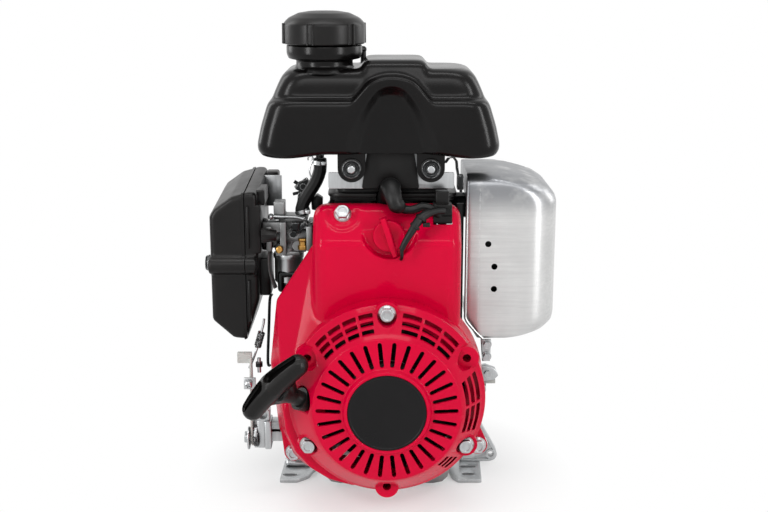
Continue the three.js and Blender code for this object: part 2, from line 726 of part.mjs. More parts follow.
function crankcaseCover() {
  const front = crankcase.back + gap;
  const inset = sideCover.flangeInset;
  const outline = roundedRectangle(
    crankcase.left + inset, crankcase.right - inset, crankHeight - sideCover.domeRadius - edge,
    crankcase.shoulder - inset, crankcase.corner,
  );
  const s = sideCover;
  const centre = new THREE.Vector2(crankX, crankHeight);
  const pads = circle(s.padCircle, s.pads).map((p) => p.rotateAround(origin, Math.PI / s.pads).add(centre));
  const body = join(
    solid(prismY(outline, front, front + s.flange)),
    onCrank(front, s.domeBack, s.domeRadius, sides.large),
    onCrank(front, s.back, s.boss, sides.medium),
    ...pads.map((p) => solid(barY(front, s.back, p.x, p.y, s.padRadius, sides.small))),
  );
  return cut(
    body,
    onCrank(front - overrun, rearBearingY + bearing.width + gap, bearing.radius + gap, sides.medium),
    onCrank(front, s.back + overrun, output.radius + gap, sides.medium),
    ...pads.map((p) => solid(barY(s.back - s.boltDepth, s.back + overrun, p.x, p.y, s.boltHole, sides.tiny))),
  );
}

function plugBase() {
  return plugTip.clone().addScaledVector(plugAxis, -plug.reach);
}

function plugPoint(distance) {
  return plugBase().addScaledVector(plugAxis, distance);
}

function plugEnd() {
  return plugPoint(plug.reach - plug.thread * 2);
}

// The room round the spark plug and its cap
function plugWell(margin) {
  return solid(bar(plugBase(), plugPoint(plug.reach + overrun), plug.capRadius + margin, sides.small));
}

function cylinderHead() {
  const core = barZ(headBottom, headTop, crankX, cylinderY, head.core, sides.medium);
  const slabs = [];
  for (let i = 0; i < head.finCount; i++) {
    const bottom = headBottom + i * head.finPitch;
    slabs.push(solid(prismZ(finOutline(), bottom, bottom + head.finThickness)));
  }
  const postFront = hood.topFront + overrun * 2;
  const postZ = topBolt.z - head.postDrop;
  const boltPost = barY(postFront, barrel.finFront + overrun, topBolt.x, postZ, head.post, sides.tiny);
  return cut(
    join(
      solid(core),
      ...slabs,
      solid(prismZ(headCoverOutline(edge), headTop - head.finThickness, headTop)),
      solid(barX(barrel.finLeft - edge, crankX, intakePort.y, intakePort.z, head.port, sides.small)),
      solid(barX(crankX, barrel.finRight + edge, exhaust.y, exhaust.z, head.port, sides.small)),
      solid(boltPost),
    ),
    plugWell(edge),
  );
}

function headCoverOutline(margin) {
  const c = headCover;
  return roundedRectangle(c.left + margin, c.right - margin, c.front + margin, c.back - margin, c.corner);
}

function headCoverBody() {
  const bottom = headTop + gap;
  const inset = headCover.inset;
  const dome = (margin, z) => ({ outline: headCoverOutline(margin), z });
  return cut(
    join(
      solid(prismZ(headCoverOutline(0), bottom, bottom + headCover.flange)),
      solid(loftZ([
        dome(inset, bottom + edge), dome(inset, headCoverTop - headCover.skirt),
        dome(inset + edge * 2, headCoverTop),
      ])),
    ),
    plugWell(edge),
  );
}

// Ignition

function sparkPlug() {
  const hexagonal = new THREE.CylinderGeometry(plug.hexAcross / 2, plug.hexAcross / 2, plug.hexAcross / 2, 6);
  const turn = new THREE.Quaternion().setFromUnitVectors(up, plugAxis);
  const seat = plugPoint(plug.reach / 2 - plug.hexAcross / 4);
  return join(
    solid(bar(plugPoint(plug.thread), plugPoint(plug.reach / 2), plug.thread, sides.tiny)),
    solid(hexagonal.applyQuaternion(turn).translate(seat.x, seat.y, seat.z)),
    solid(bar(plugPoint(plug.reach / 2 - edge), plugEnd(), plug.insulator, sides.tiny)),
  );
}

function plugCap() {
  const bottom = plugPoint(plug.reach - plug.capLength + edge);
  const socket = plugPoint(plug.reach - plug.thread * 2 + gap);
  const shoulder = plugPoint(plug.reach - edge);
  return cut(
    join(
      solid(bar(bottom, shoulder, plug.capRadius - edge, sides.small, plug.capRadius)),
      solid(roundedHull([shoulder, plugTip], plug.capRadius)),
      solid(bar(plugTip, elbowEnd, plug.elbow + edge, sides.small, plug.elbow)),
    ),
    solid(bar(plugPoint(0), socket, plug.insulator + gap, sides.tiny)),
    solid(leadTube(lead.radius + gap)),
  );
}

// The lead runs from the cap along the hood's top edge, through its block and down to the coil
function leadTube(radius) {
  const width = leadBlock.right - elbowEnd.x;
  const depth = elbowEnd.y - (coil.front + coil.back) / 2;
  const drop = elbowEnd.z - coil.top + coil.leadDrop;
  const route = leadShares.map(({ x, y, z }) => (
    new THREE.Vector3(elbowEnd.x + width * x, elbowEnd.y + depth * y, elbowEnd.z + drop * z)
  ));
  return tube(route, radius, lead.sides, lead.steps);
}

function ignitionLead() {
  return solid(leadTube(lead.radius));
}

function leadBlockBody() {
  const b = leadBlock;
  const outline = roundedRectangle(b.left, b.right, b.bottom, b.top, edge * 2);
  return cut(
    solid(prismY(outline, b.front, b.back)),
    solid(leadTube(lead.radius + gap)),
  );
}

function ignitionCoil() {
  const c = coil;
  const legBottom = crankHeight + flywheel.radius - flywheel.rimWall / 2;
  const legs = [c.left, c.right - c.leg].map((left) => (
    solid(box(left, left + c.leg, c.front + edge, c.back - edge, legBottom, c.bottom + edge))
  ));
  const room = roomFor(flywheel.radius + coil.air, sides.large);
  return cut(
    join(
      solid(box(c.left, c.right, c.front, c.back, c.bottom, c.top)),
      ...legs,
    ),
    onCrank(c.front - overrun, c.back + overrun, room, sides.large),
  );
}

// Fan housing

// The tall part over the cylinder, whose front leans back above a bend
function hoodTower(inset) {
  const h = hood;
  const deep = h.back + overrun * 2 + h.round;
  const side = [
    [h.front, h.low - h.round], [deep, h.low - h.round], [deep, h.top], [h.topFront, h.top], [h.front, h.bend],
  ].map((p) => new THREE.Vector2(...p));
  const places = [h.left + h.round, h.right - h.round];
  const centres = shrink(side, h.round).flatMap((p) => places.map((x) => atX(p, x)));
  return roundedHull(centres, h.round - inset);
}

// The scroll round the fan: a round front and a wider back that runs out to the left
function hoodScroll(inset) {
  const v = voluteLeft;
  const centre = new THREE.Vector2(crankX, crankHeight);
  const inward = (p) => p.clone().addScaledVector(centre.clone().sub(p).normalize(), inset);
  const ring = (radius) => circle(radius - inset, sides.large, crankX, crankHeight);
  const leftSide = [
    [v.topX, v.topZ], [v.outX, v.outZ], [v.farX, v.farZ], [v.lowX, v.lowZ], [voluteFoot.x, voluteFoot.z],
  ].map((p) => inward(new THREE.Vector2(...p)));
  const back = [...ring(volute.right), ...leftSide];
  const deep = hood.skirtBack + overrun * 2;
  return hull([
    ...ring(volute.front).map((p) => atY(p, hood.front + inset)),
    ...ring(volute.front + volute.chamfer).map((p) => atY(p, hood.front + volute.chamfer + inset)),
    ...back.flatMap((p) => [atY(p, hood.skirtBack - hood.skirtDepth), atY(p, deep)]),
  ]);
}

// The round pocket that holds the switch knob
function pocketTool(margin) {
  const outside = hood.front - overrun * 3;
  return barY(outside, knobFloor + margin, pocket.x, pocket.z, pocket.radius + margin, sides.large);
}

function earDisc(bolt) {
  return solid(barY(bolt.y, bolt.y + hoodEar.thickness, bolt.x, bolt.z, hoodEar.radius, sides.small));
}

// The web of an ear, from its disc to the scroll
function earWeb(bolt) {
  const centre = new THREE.Vector2(crankX, crankHeight);
  const disc = new THREE.Vector2(bolt.x, bolt.z);
  const inner = disc.clone().lerp(centre, hoodEar.rootShare);
  const outline = [disc, inner].flatMap((p) => circle(hoodEar.radius, sides.small, p.x, p.y));
  return solid(hull(outline.flatMap((p) => [atY(p, bolt.y), atY(p, bolt.y + hoodEar.thickness)])));
}

function fanCover() {
  const h = hood;
  const outer = join(
    solid(hoodTower(0)),
    solid(hoodScroll(0)),
    solid(revolveY([
      [0, h.drumFront], [h.drumRadius, h.drumFront], [h.drumRadius, h.front + volute.chamfer],
      [0, h.front + volute.chamfer],
    ], sides.large).translate(crankX, 0, crankHeight)),
  );
  const inner = join(
    cut(solid(hoodTower(h.wall)), solid(pocketTool(h.wall))),
    solid(hoodScroll(h.wall)),
    solid(revolveY([
      [0, h.drumFront + h.wall], [h.drumRadius - h.wall, h.drumFront + h.wall],
      [h.drumRadius - h.wall, h.front + h.round], [0, h.front + h.round],
    ], sides.large).translate(crankX, 0, crankHeight)),
  );
  const outside = h.right * 2;
  const behindTop = box(-outside, outside, h.back, outside, crankHeight, h.top + overrun);
  const behind = box(-outside, outside, h.skirtBack, outside, -overrun, h.top + overrun);
  const shell = cut(
    cut(outer, solid(pocketTool(0))),
    inner, solid(behindTop), solid(behind), leftArm(gap), rightArm(gap),
    solid(barY(h.drumFront - overrun, h.front, crankX, crankHeight, h.mouth, sides.large)),
  );
  const ears = [leftBolt, rightBolt].flatMap((bolt) => [earDisc(bolt), cut(earWeb(bolt), inner)]);
  return cut(
    join(shell, ...ears),
    ...[leftBolt, rightBolt].map(boltHole),
    ...Object.values(recoilBolts).map(starterHole),
    solid(bar(topBoltPoint(-overrun), topBoltPoint(flangeBolt.length), flangeBolt.shank + gap, sides.tiny)),
    plugWell(edge),
    solid(box(
      leadBlock.left - gap, leadBlock.right + gap, leadBlock.front - overrun, leadBlock.back + overrun,
      leadBlock.bottom - gap, leadBlock.top,
    )),
    solid(bar(knobPoint(-overrun), knobPoint(overrun * 2), knob.stem + gap, sides.tiny)),
  );
}

// Bolts

const leanAxis = new THREE.Vector3(0, hood.bend - hood.top, hood.topFront - hood.front).normalize();

// A point on the bolt at the top of the hood: positive distances lie inside the housing
function topBoltPoint(distance) {
  const share = (topBolt.z - hood.bend) / (hood.top - hood.bend);
  const y = hood.front + (hood.topFront - hood.front) * share;
  return new THREE.Vector3(topBolt.x, y, topBolt.z).addScaledVector(leanAxis, -distance);
}

function boltAlong(seat, outward) {
  const b = flangeBolt;
  const turn = new THREE.Quaternion().setFromUnitVectors(up, outward);
  const hexHead = new THREE.CylinderGeometry(b.across / Math.sqrt(3), b.across / Math.sqrt(3), b.height, 6);
  const place = seat.clone().addScaledVector(outward, b.height / 2 + gap);
  const point = (distance) => seat.clone().addScaledVector(outward, distance);
  return join(
    solid(hexHead.applyQuaternion(turn).translate(place.x, place.y, place.z)),
    solid(bar(point(gap), point(gap + b.flangeHeight), b.flange, sides.tiny, b.flange - edge)),
    solid(bar(point(-b.length), point(b.flangeHeight), b.shank, sides.tiny)),
  );
}

const towardStarter = new THREE.Vector3(0, -1, 0);
const recoilBolts = { top: 90, left: 210, right: 330 };

function starterBolt(degrees) {
  const p = polar(bosses.circle, degrees);
  return boltAlong(new THREE.Vector3(crankX + p.x, bosses.front, crankHeight + p.y), towardStarter);
}

function starterHole(degrees) {
  const p = polar(bosses.circle, degrees);
  const reach = bosses.front - overrun * 2;
  return solid(barY(reach, hood.front - overrun, crankX + p.x, crankHeight + p.y, bosses.hole, sides.tiny));
}

// Kill switch knob

const knob = {
  x: 5.5, ...aboveCrank({ z: 125 }), radius: 13, height: 5, bar: 6, barLength: 32, barHeight: 6, stem: 3,
  stemLength: 5, tilt: 18,
};

// A point on the knob's axis: zero is the floor of its pocket
function knobPoint(distance) {
  return new THREE.Vector3(knob.x, knobFloor + distance, knob.z);
}

// The knob on its own axis
function switchKnob() {
  const face = knobFloor - gap;
  const half = knob.bar / 2;
  const grip = roundedRectangle(-half, half, -knob.barLength / 2, knob.barLength / 2, half);
  const tilted = grip.map((p) => p.rotateAround(origin, THREE.MathUtils.degToRad(knob.tilt)));
  return join(
    solid(barY(face - knob.height, face, 0, 0, knob.radius - edge, sides.medium, knob.radius)),
    solid(prismY(tilted, face - knob.height - knob.barHeight, face - edge)),
    solid(barY(face - edge, face + knob.stemLength, 0, 0, knob.stem, sides.tiny)),
  );
}

// Rope starter, on the crank axis

function guidePoint(distance) {
  return new THREE.Vector3(guide.x, guide.y, guide.z).addScaledVector(pull, distance);
}

function recoilCover() {
  const s = starter;
  const w = s.wall;
  const shell = revolveY([
    [0, s.postEnd], [s.post, s.postEnd], [s.post, s.recessY + w], [s.faceInner, s.faceInnerY + w],
    [s.faceOuter - w / 2, s.faceY + w], [s.shoulderOuter - w, s.shoulderY + w / 2], [s.rim - w, s.back],
    [s.rim, s.back], [s.rim, s.rimFront], [s.shoulderOuter, s.shoulderY], [s.edgeOuter, s.edgeY],
    [s.faceOuter, s.faceY], [s.faceInner, s.faceInnerY], [s.ring, s.front], [s.recess, s.front],
    [s.recess, s.recessY], [0, s.recessY],
  ], sides.cover);
  const slotTools = [];
  for (let i = 0; i < slots.count; i++) {
    const middle = (slots.inner + slots.outer) / 2;
    const outline = stadium(middle, 0, slots.outer - slots.inner, slots.width, slots.steps);
    const tool = prismY(outline, s.front - overrun, s.edgeY + overrun);
    slotTools.push(solid(tool.rotateY((-2 * Math.PI * i) / slots.count)));
  }
  const ventTools = ventSpans.flatMap(ventRow);
  const outerSkin = solid(revolveY([
    [0, s.back], [s.rim, s.back], [s.rim, s.rimFront], [s.shoulderOuter, s.shoulderY], [s.edgeOuter, s.edgeY],
    [0, s.edgeY],
  ], sides.cover));
  const bossBodies = [];
  const bossHoles = [];
  for (let i = 0; i < bosses.count; i++) {
    const p = polar(bosses.circle, bosses.first + bosses.step * i);
    bossBodies.push(solid(barY(bosses.front, s.back, p.x, p.y, bosses.radius, sides.tiny)));
    bossBodies.push(outerSkin.intersect(solid(barY(s.edgeY, s.back, p.x, p.y, bosses.radius, sides.tiny))));
    bossHoles.push(solid(barY(s.front, bosses.front, p.x, p.y, bosses.radius - bosses.wall, sides.tiny)));
    bossHoles.push(solid(barY(s.front, s.back + overrun, p.x, p.y, bosses.hole, sides.tiny)));
  }
  const guideFoot = guidePoint(-guide.depth);
  const guideBoss = bar(guideFoot, guidePoint(guide.rise), guide.radius, sides.small, guide.radius - edge);
  const boreFoot = guidePoint(-guide.depth - overrun * 2);
  const guideBore = bar(boreFoot, guidePoint(guide.rise + overrun), guide.bore, sides.tiny);
  const collarRoom = bar(guidePoint(guide.rise), guidePoint(grip.reach), grip.collar + edge, sides.small);
  return cut(
    join(cut(solid(shell), ...slotTools, ...ventTools), ...bossBodies, solid(guideBoss)),
    ...bossHoles, solid(guideBore), solid(collarRoom),
  );
}

// Curved vent windows in the sloping shoulder, in rows that share their ribs
function ventRow({ from, to, count }) {
  const tools = [];
  const window = (to - from) / count;
  for (let row = 0; row < vents.rows; row++) {
    const inner = vents.inner + row * vents.pitch;
    for (let i = 0; i < count; i++) {
      const start = from + i * window + vents.rib / 2;
      const outline = ringSector(inner, inner + vents.width, start, start + window - vents.rib, 1);
      tools.push(solid(prismY(outline, starter.front, starter.rimFront + edge)));
    }
  }
  return tools;
}

function recoilBadge() {
  const floor = starter.recessY - gap;
  return solid(revolveY([
    [0, floor], [badge.radius, floor], [badge.radius, floor - badge.thickness / 2],
    [badge.radius - edge / 2, floor - badge.thickness], [0, floor - badge.thickness],
  ], sides.large));
}

function recoilReel() {
  const r = reel;
  return solid(revolveY([
    [r.bore, r.front], [r.radius, r.front], [r.radius, r.front + r.lip], [r.groove, r.front + r.lip * 2],
    [r.groove, r.back - r.lip * 2], [r.radius, r.back - r.lip], [r.radius, r.back], [r.bore, r.back],
    [r.bore, r.front],
  ], sides.medium));
}

// A point on the grip: along it from its middle, and out from the engine
function gripPoint(along, out) {
  return guidePoint(grip.reach + out).addScaledVector(gripAcross, along);
}

// A pocket in the grip's far side, between two places along it
function gripPocket(from, to) {
  const side = new THREE.Vector3().crossVectors(pull, gripAcross);
  const ring = circle(grip.pocket, sides.tiny);
  const points = [from, to].flatMap((along) => [0, grip.pocketDepth].flatMap((out) => (
    ring.map((p) => gripPoint(along, out + p.x).addScaledVector(side, p.y))
  )));
  return solid(hull(points));
}

function recoilHandle() {
  const g = grip;
  const end = g.length / 2 - g.endRadius;
  const collarFront = guide.rise + gap * 4;
  const collarBack = collarFront + g.collarLength;
  return cut(
    join(
      solid(hull([
        ...ballPoints(gripPoint(-end, 0), g.endRadius), ...ballPoints(gripPoint(0, 0), g.radius),
        ...ballPoints(gripPoint(end, 0), g.endRadius),
      ])),
      solid(bar(guidePoint(collarFront), guidePoint(collarBack), g.collar - edge, sides.small, g.collar)),
      solid(bar(guidePoint(collarBack - edge), guidePoint(g.reach), g.neck, sides.small, g.radius - edge)),
    ),
    gripPocket(-end - g.rib, -g.rib),
    gripPocket(g.rib, end + g.rib),
    solid(bar(guidePoint(collarFront - overrun), guidePoint(rope.hold + gap), rope.radius + gap, sides.tiny)),
  );
}

function starterRope() {
  return solid(bar(guidePoint(-rope.inside), guidePoint(rope.hold), rope.radius, sides.tiny));
}

function flywheelBody() {
  const f = flywheel;
  const bore = taper.radius + gap;
  const wheel = revolveY([
    [bore, f.hubFront], [f.hub, f.hubFront], [f.hub, f.webFront], [f.radius - f.rimWall, f.webFront],
    [f.radius - f.rimWall, f.front], [f.radius, f.front], [f.radius, f.back], [f.radius - f.rimWall, f.back],
    [f.radius - f.rimWall, f.webBack], [f.hub, f.webBack], [f.hub, f.hubBack], [bore, f.hubBack],
    [bore, f.hubFront],
  ], sides.large);
  const disc = revolveY([
    [f.bladeInner, f.front - edge], [f.bladeOuter, f.front - edge], [f.bladeOuter, f.front + edge],
    [f.bladeInner, f.front + edge], [f.bladeInner, f.front - edge],
  ], sides.large);
  const blades = [];
  for (let i = 0; i < f.blades; i++) {
    const half = f.bladeThickness / 2;
    const blade = box(f.bladeInner, f.bladeOuter - edge, f.bladeFront, f.front, -half, half);
    blades.push(solid(blade.rotateY((-2 * Math.PI * i) / f.blades)));
  }
  const rimInner = f.radius - f.rimWall + edge;
  const collar = revolveY([
    [f.bladeInner, f.webFront + edge], [rimInner, f.webFront + edge], [rimInner, f.front - edge],
    [f.bladeInner, f.front - edge], [f.bladeInner, f.webFront + edge],
  ], sides.large);
  return join(solid(wheel), solid(collar), solid(disc), ...blades);
}

// The cup that the starter's pawls catch, clamped by the crankshaft nut
function starterCup() {
  const c = cup;
  const bore = thread.radius + gap;
  const back = flywheel.hubFront - gap;
  return cut(
    join(
      solid(revolveY([
        [0, back], [flywheel.hub - edge, back], [flywheel.hub - edge, c.floor + c.wall],
        [c.radius, c.floor + c.wall], [c.radius, c.front], [c.radius - c.wall, c.front],
        [c.radius - c.wall, c.floor], [0, c.floor],
      ], sides.large)),
      solid(prismY(hexagon(c.nutAcross), c.nutFront, back)),
    ),
    solid(barY(c.nutFront - overrun, back + overrun, 0, 0, bore, sides.medium)),
  );
}

// Fuel tank

function tankSection({ level, side, front, back }, inset) {
  const t = tank;
  const width = t.right - t.left;
  const depth = t.back - t.front;
  return {
    outline: roundedRectangle(
      t.left + width * side / 2 + inset, t.right - width * side / 2 - inset,
      t.front + depth * front / 2 + inset, t.back - depth * back / 2 - inset, t.corner,
    ),
    z: tankLevels[level],
  };
}

// The bell-shaped hollow in the tank's front, and the arch that stands round its head
function bellOutline() {
  return mirrored(bellShares, bell.left, bell.right, tankBottom - overrun, bell.height + overrun);
}

function tankArch() {
  const outline = mirrored(archShares, arch.left, arch.right, tankBottom + arch.foot, arch.height - arch.foot);
  return prismY(outline, tank.front + arch.setBack, tank.front + tank.recess * 2);
}

function tankRidge() {
  const t = tank;
  const slope = t.ridgeSlope;
  const front = t.front + (t.back - t.front) * tankShares.at(-1).front / 2;
  const back = t.back - (t.back - t.front) * tankShares.at(-1).back / 2;
  const section = (spread, z) => ({
    outline: roundedRectangle(
      t.ridgeLeft - spread, t.ridgeRight + spread, front - spread, back + spread, t.corner / 2,
    ),
    z,
  });
  return loftZ([
    section(slope, tankLevels.upper - slope), section(slope, tankLevels.top - slope / 2),
    section(0, tankLevels.ridgeTop),
  ]);
}

function grommetEar(x) {
  const disc = circle(ear.radius, sides.small, x, earZ);
  const root = rectangle(x - ear.radius, x + ear.radius, tankBottom, tankLevels.rim);
  return hull([...disc, ...root].flatMap((p) => [atY(p, ear.front), atY(p, ear.back)]));
}

function fuelTank() {
  const t = tank;
  const inside = tankShares.map((share) => tankSection(share, t.wall));
  inside[0].z += t.wall;
  inside.at(-1).z -= t.wall;
  const recess = (depth) => solid(prismY(bellOutline(), t.front - overrun, t.front + depth));
  const body = join(
    solid(loftZ(tankShares.map((share) => tankSection(share, 0)))), solid(tankRidge()), solid(tankArch()),
  );
  const spigotFoot = tankBottom - spigot.length;
  const earHoles = [ear.left, ear.right].map((x) => (
    solid(barY(ear.front - overrun, ear.back + overrun, x, earZ, ear.hole, sides.small))
  ));
  return cut(
    join(
      cut(body, recess(t.recess)),
      solid(grommetEar(ear.left)),
      solid(grommetEar(ear.right)),
      solid(barZ(spigotFoot, tankBottom + edge, spigot.x, spigot.y, spigot.radius, sides.tiny)),
    ),
    cut(solid(loftZ(inside)), recess(t.recess + t.wall)),
    solid(barZ(tankLevels.shoulder, neckTop, neck.x, neck.y, neck.bore, sides.large)),
    ...earHoles,
  );
}

// The filler neck, which stands on the tank's top and carries the cap
function fillerNeck() {
  const foot = tankLevels.top + gap;
  return cut(
    join(
      solid(barZ(foot, neckTop, neck.x, neck.y, neck.radius, sides.large)),
      solid(barZ(collarBottom, collarTop, neck.x, neck.y, neck.collar - edge, sides.large, neck.collar)),
    ),
    solid(barZ(foot - overrun, neckTop + overrun, neck.x, neck.y, neck.bore, sides.large)),
  );
}

function fuelCap() {
  const c = cap;
  const ceiling = neckTop + gasket.thickness + gap * 2;
  const shoulder = capBottom + c.skirt;
  const top = capBottom + c.height;
  const wall = c.radius - c.rib;
  const dome = capShares.map((p) => [c.radius * p.radius, top - (top - shoulder) * p.drop]);
  const shell = revolveZ([
    [0, ceiling], [c.cavity, ceiling], [c.cavity, capBottom], [wall, capBottom], [wall, shoulder], ...dome,
    [0, top],
  ], sides.large);
  const ribs = [];
  for (let i = 0; i < c.ribPairs; i++) {
    for (const offset of [-capAngles.apart, capAngles.apart]) {
      const degrees = capAngles.first + offset + (360 * i) / c.ribPairs;
      const rib = box(wall - c.rib * 2, c.radius, -c.ribWidth / 2, c.ribWidth / 2, capBottom, shoulder);
      ribs.push(solid(rib.rotateZ(THREE.MathUtils.degToRad(degrees))));
    }
  }
  return join(solid(shell), ...ribs);
}

function capGasket() {
  const bottom = neckTop + gap;
  const top = bottom + gasket.thickness;
  return solid(revolveZ([
    [gasket.inner, bottom], [gasket.outer, bottom], [gasket.outer, top], [gasket.inner, top],
    [gasket.inner, bottom],
  ], sides.small));
}

function tankGrommet(x) {
  const front = ear.front - gap - grommet.flangeDepth;
  const back = ear.back + gap + grommet.flangeDepth;
  return solid(revolveY([
    [grommet.hole, front], [grommet.flange, front], [grommet.flange, ear.front - gap],
    [grommet.radius, ear.front - gap], [grommet.radius, ear.back + gap], [grommet.flange, ear.back + gap],
    [grommet.flange, back], [grommet.hole, back], [grommet.hole, front],
  ], sides.small).translate(x, 0, earZ));
}

function tankBolt(x) {
  const seat = ear.front - gap * 2 - grommet.flangeDepth;
  return join(
    solid(barY(seat, bracket.front + bracket.thickness + overrun, x, earZ, stud.radius, sides.tiny)),
    solid(prismY(hexagon(stud.headAcross, x, earZ), seat - flangeBolt.height / 2, seat)),
  );
}

function tankBracket() {
  const b = bracket;
  const bottom = headCoverTop + gap;
  const top = bottom + b.thickness;
  const back = b.front + b.thickness;
  const frontPlate = roundedRectangle(b.left, b.right, bottom, bottom + b.height, edge);
  const tabs = [ear.left, ear.right].map((x) => solid(barY(b.front, back, x, earZ, b.tab, sides.small)));
  const rear = rectangle(b.baseLeft + b.tab, b.baseRight - b.tab, bottom, tankBottom - gap * 3);
  return cut(
    join(
      solid(box(b.baseLeft, b.baseRight, b.front, b.back, bottom, top)),
      solid(prismY(frontPlate, b.front, back)),
      solid(prismY(rear, b.back - b.thickness, b.back)),
      ...tabs,
    ),
    ...[ear.left, ear.right].map((x) => (
      solid(barY(b.front - overrun, back + overrun, x, earZ, stud.radius + gap, sides.tiny))
    )),
    plugWell(edge),
  );
}

// The dark plate in front of the bracket, arched over the plug
function bracketGuard() {
  const g = guard;
  const bottom = headCoverTop + gap * 2;
  const top = tankBottom - gap * 2;
  const outline = [
    [g.bottomLeft, bottom], [g.bottomRight, bottom], [g.topRight, top], [g.topLeft, top],
  ].map((p) => new THREE.Vector2(...p));
  const back = bracket.front - gap;
  return cut(solid(prismY(roundCorners(outline, edge), back - g.thickness, back)), plugWell(edge));
}

// Fuel line, carburettor and air cleaner

function fuelHose() {
  const top = tankBottom - spigot.length - gap * 2;
  const bottom = carb.top + hose.rise;
  const route = hoseShares.map(({ x, z }) => new THREE.Vector3(
    THREE.MathUtils.lerp(spigot.x, hose.endX, x), THREE.MathUtils.lerp(spigot.y, hose.endY, z),
    THREE.MathUtils.lerp(top, bottom, z),
  ));
  return solid(tube(route, hose.radius, sides.small, sides.small));
}

// The plate at each end of the intake, across the throat
function throatPlate() {
  return stadium(throat.y, throat.z, manifold.flangeLength, manifold.flangeHeight);
}

function carburetor() {
  const c = carb;
  const block = roundedRectangle(c.left, c.right, c.front, c.back, c.corner);
  const pinEnd = c.left - chokeLever.thickness - edge;
  return cut(
    join(
      solid(prismZ(block, c.bottom, c.top)),
      solid(barX(throat.left, c.left + edge, throat.y, throat.z, throat.inlet, sides.medium)),
      solid(barX(c.left, throat.right, throat.y, throat.z, throat.radius, sides.medium)),
      solid(prismX(throatPlate(), throat.right - manifold.flangeThickness, throat.right)),
      solid(barZ(c.top - edge, c.top + hose.rise - edge, hose.endX, hose.endY, hose.radius, sides.small)),
      solid(barX(pinEnd, c.left + edge, chokeLever.pivotY, chokeLever.pivotZ, chokeLever.pin, sides.tiny)),
    ),
    solid(barX(throat.left - overrun, throat.right + overrun, throat.y, throat.z, throat.bore, sides.small)),
  );
}

function floatBowl() {
  const b = bowl;
  const top = carb.bottom - gap;
  const bottom = top - b.height;
  return solid(revolveZ([
    [0, bottom - b.drop], [b.nut, bottom - b.drop], [b.nut, bottom], [b.radius - b.drop, bottom],
    [b.radius - edge / 2, bottom + b.drop], [b.radius - edge / 2, top - b.drop], [b.radius, top - b.drop],
    [b.radius, top], [0, top],
  ], sides.medium));
}

function intakeManifold() {
  const start = throat.right + gap;
  const end = barrel.finLeft - edge - gap;
  const ring = (x, y, z) => circle(manifold.radius, sides.small, y, z).map((p) => atX(p, x));
  const elbow = hull([...ring(start, throat.y, throat.z), ...ring(end, intakePort.y, intakePort.z)]);
  return join(
    solid(elbow),
    solid(prismX(throatPlate(), start, start + manifold.flangeThickness)),
    solid(barX(end - manifold.flangeThickness, end, intakePort.y, intakePort.z, manifold.flange, sides.small)),
  );
}

function chokeLeverBody() {
  const c = chokeLever;
  const right = carb.left - gap;
  const left = right - c.thickness;
  const tip = new THREE.Vector2(c.pivotY - c.length, c.pivotZ + c.width / 2);
  const outline = [
    ...circle(c.width / 2, sides.small, c.pivotY, c.pivotZ), ...circle(c.width / 2, sides.tiny, tip.x, tip.y),
  ];
  const plate = hull(outline.flatMap((p) => [atX(p, left), atX(p, right)]));
  return cut(
    join(
      solid(plate),
      solid(barX(left - c.knobSide, right + c.knobSide, tip.x, tip.y, c.knob, sides.small, c.knobEnd)),
    ),
    solid(barX(left - overrun, right + overrun, c.pivotY, c.pivotZ, c.pin + gap, sides.tiny)),
  );
}

// The air cleaner's outline across Y, with its sloped upper and lower edges
function cleanerOutline() {
  const c = cleaner;
  const width = c.right - c.left;
  const height = c.top - c.bottom;
  const corners = cleanerShares.map((p) => new THREE.Vector2(c.right - width * p.x, c.bottom + height * p.z));
  return corners.reverse();
}

function cleanerBlock(inset) {
  const c = cleaner;
  const outline = shrink(cleanerOutline(), inset);
  const small = shrink(cleanerOutline(), inset + c.sideRound);
  const front = c.front + inset;
  const back = c.back - inset;
  return solid(hull([
    ...small.flatMap((p) => [atY(p, front), atY(p, back)]),
    ...outline.flatMap((p) => [atY(p, front + c.sideRound), atY(p, back - c.sideRound)]),
  ]));
}

function halfSpace(from, to) {
  const far = shield.right * 2;
  return solid(box(from, to, -far, far, -far, far * 2));
}

// A bar along the stud that holds the cover on
function onStud(from, to, radius) {
  return solid(barX(from, to, cleanerBoss.y, cleanerBoss.z, radius, sides.small));
}

function airCleanerCover() {
  const c = cleaner;
  const end = c.left - cleanerBoss.end;
  return cut(
    join(cut(cleanerBlock(0), cleanerBlock(c.wall)), onStud(end, c.right - c.wall, cleanerBoss.radius)),
    halfSpace(c.split, shield.right),
    onStud(end - overrun, c.split + overrun, cleanerNut.stud + gap * 2),
  );
}

function airCleanerCase() {
  const c = cleaner;
  const back = c.right - c.wall;
  const tray = cut(
    join(cut(cleanerBlock(0), cleanerBlock(c.wall)), onStud(c.left, back + edge, cleanerBoss.radius)),
    halfSpace(-shield.right * 2, c.split + gap),
  );
  return cut(
    join(
      tray,
      solid(barX(back, throat.left - gap, throat.y, throat.z, throat.inlet, sides.medium)),
      onStud(cleanerNut.end + cleanerNut.cover, back, cleanerNut.stud),
    ),
    solid(barX(back - overrun, throat.left + overrun, throat.y, throat.z, throat.bore, sides.small)),
  );
}

function airCleanerNut() {
  const n = cleanerNut;
  const seat = cleaner.left - cleanerBoss.end - gap;
  return cut(
    join(
      solid(prismX(hexagon(n.across, cleanerBoss.y, cleanerBoss.z), n.end, seat)),
      onStud(seat - n.flange, seat, n.radius),
    ),
    onStud(n.end + n.cover - gap, seat + overrun, n.stud + gap),
  );
}

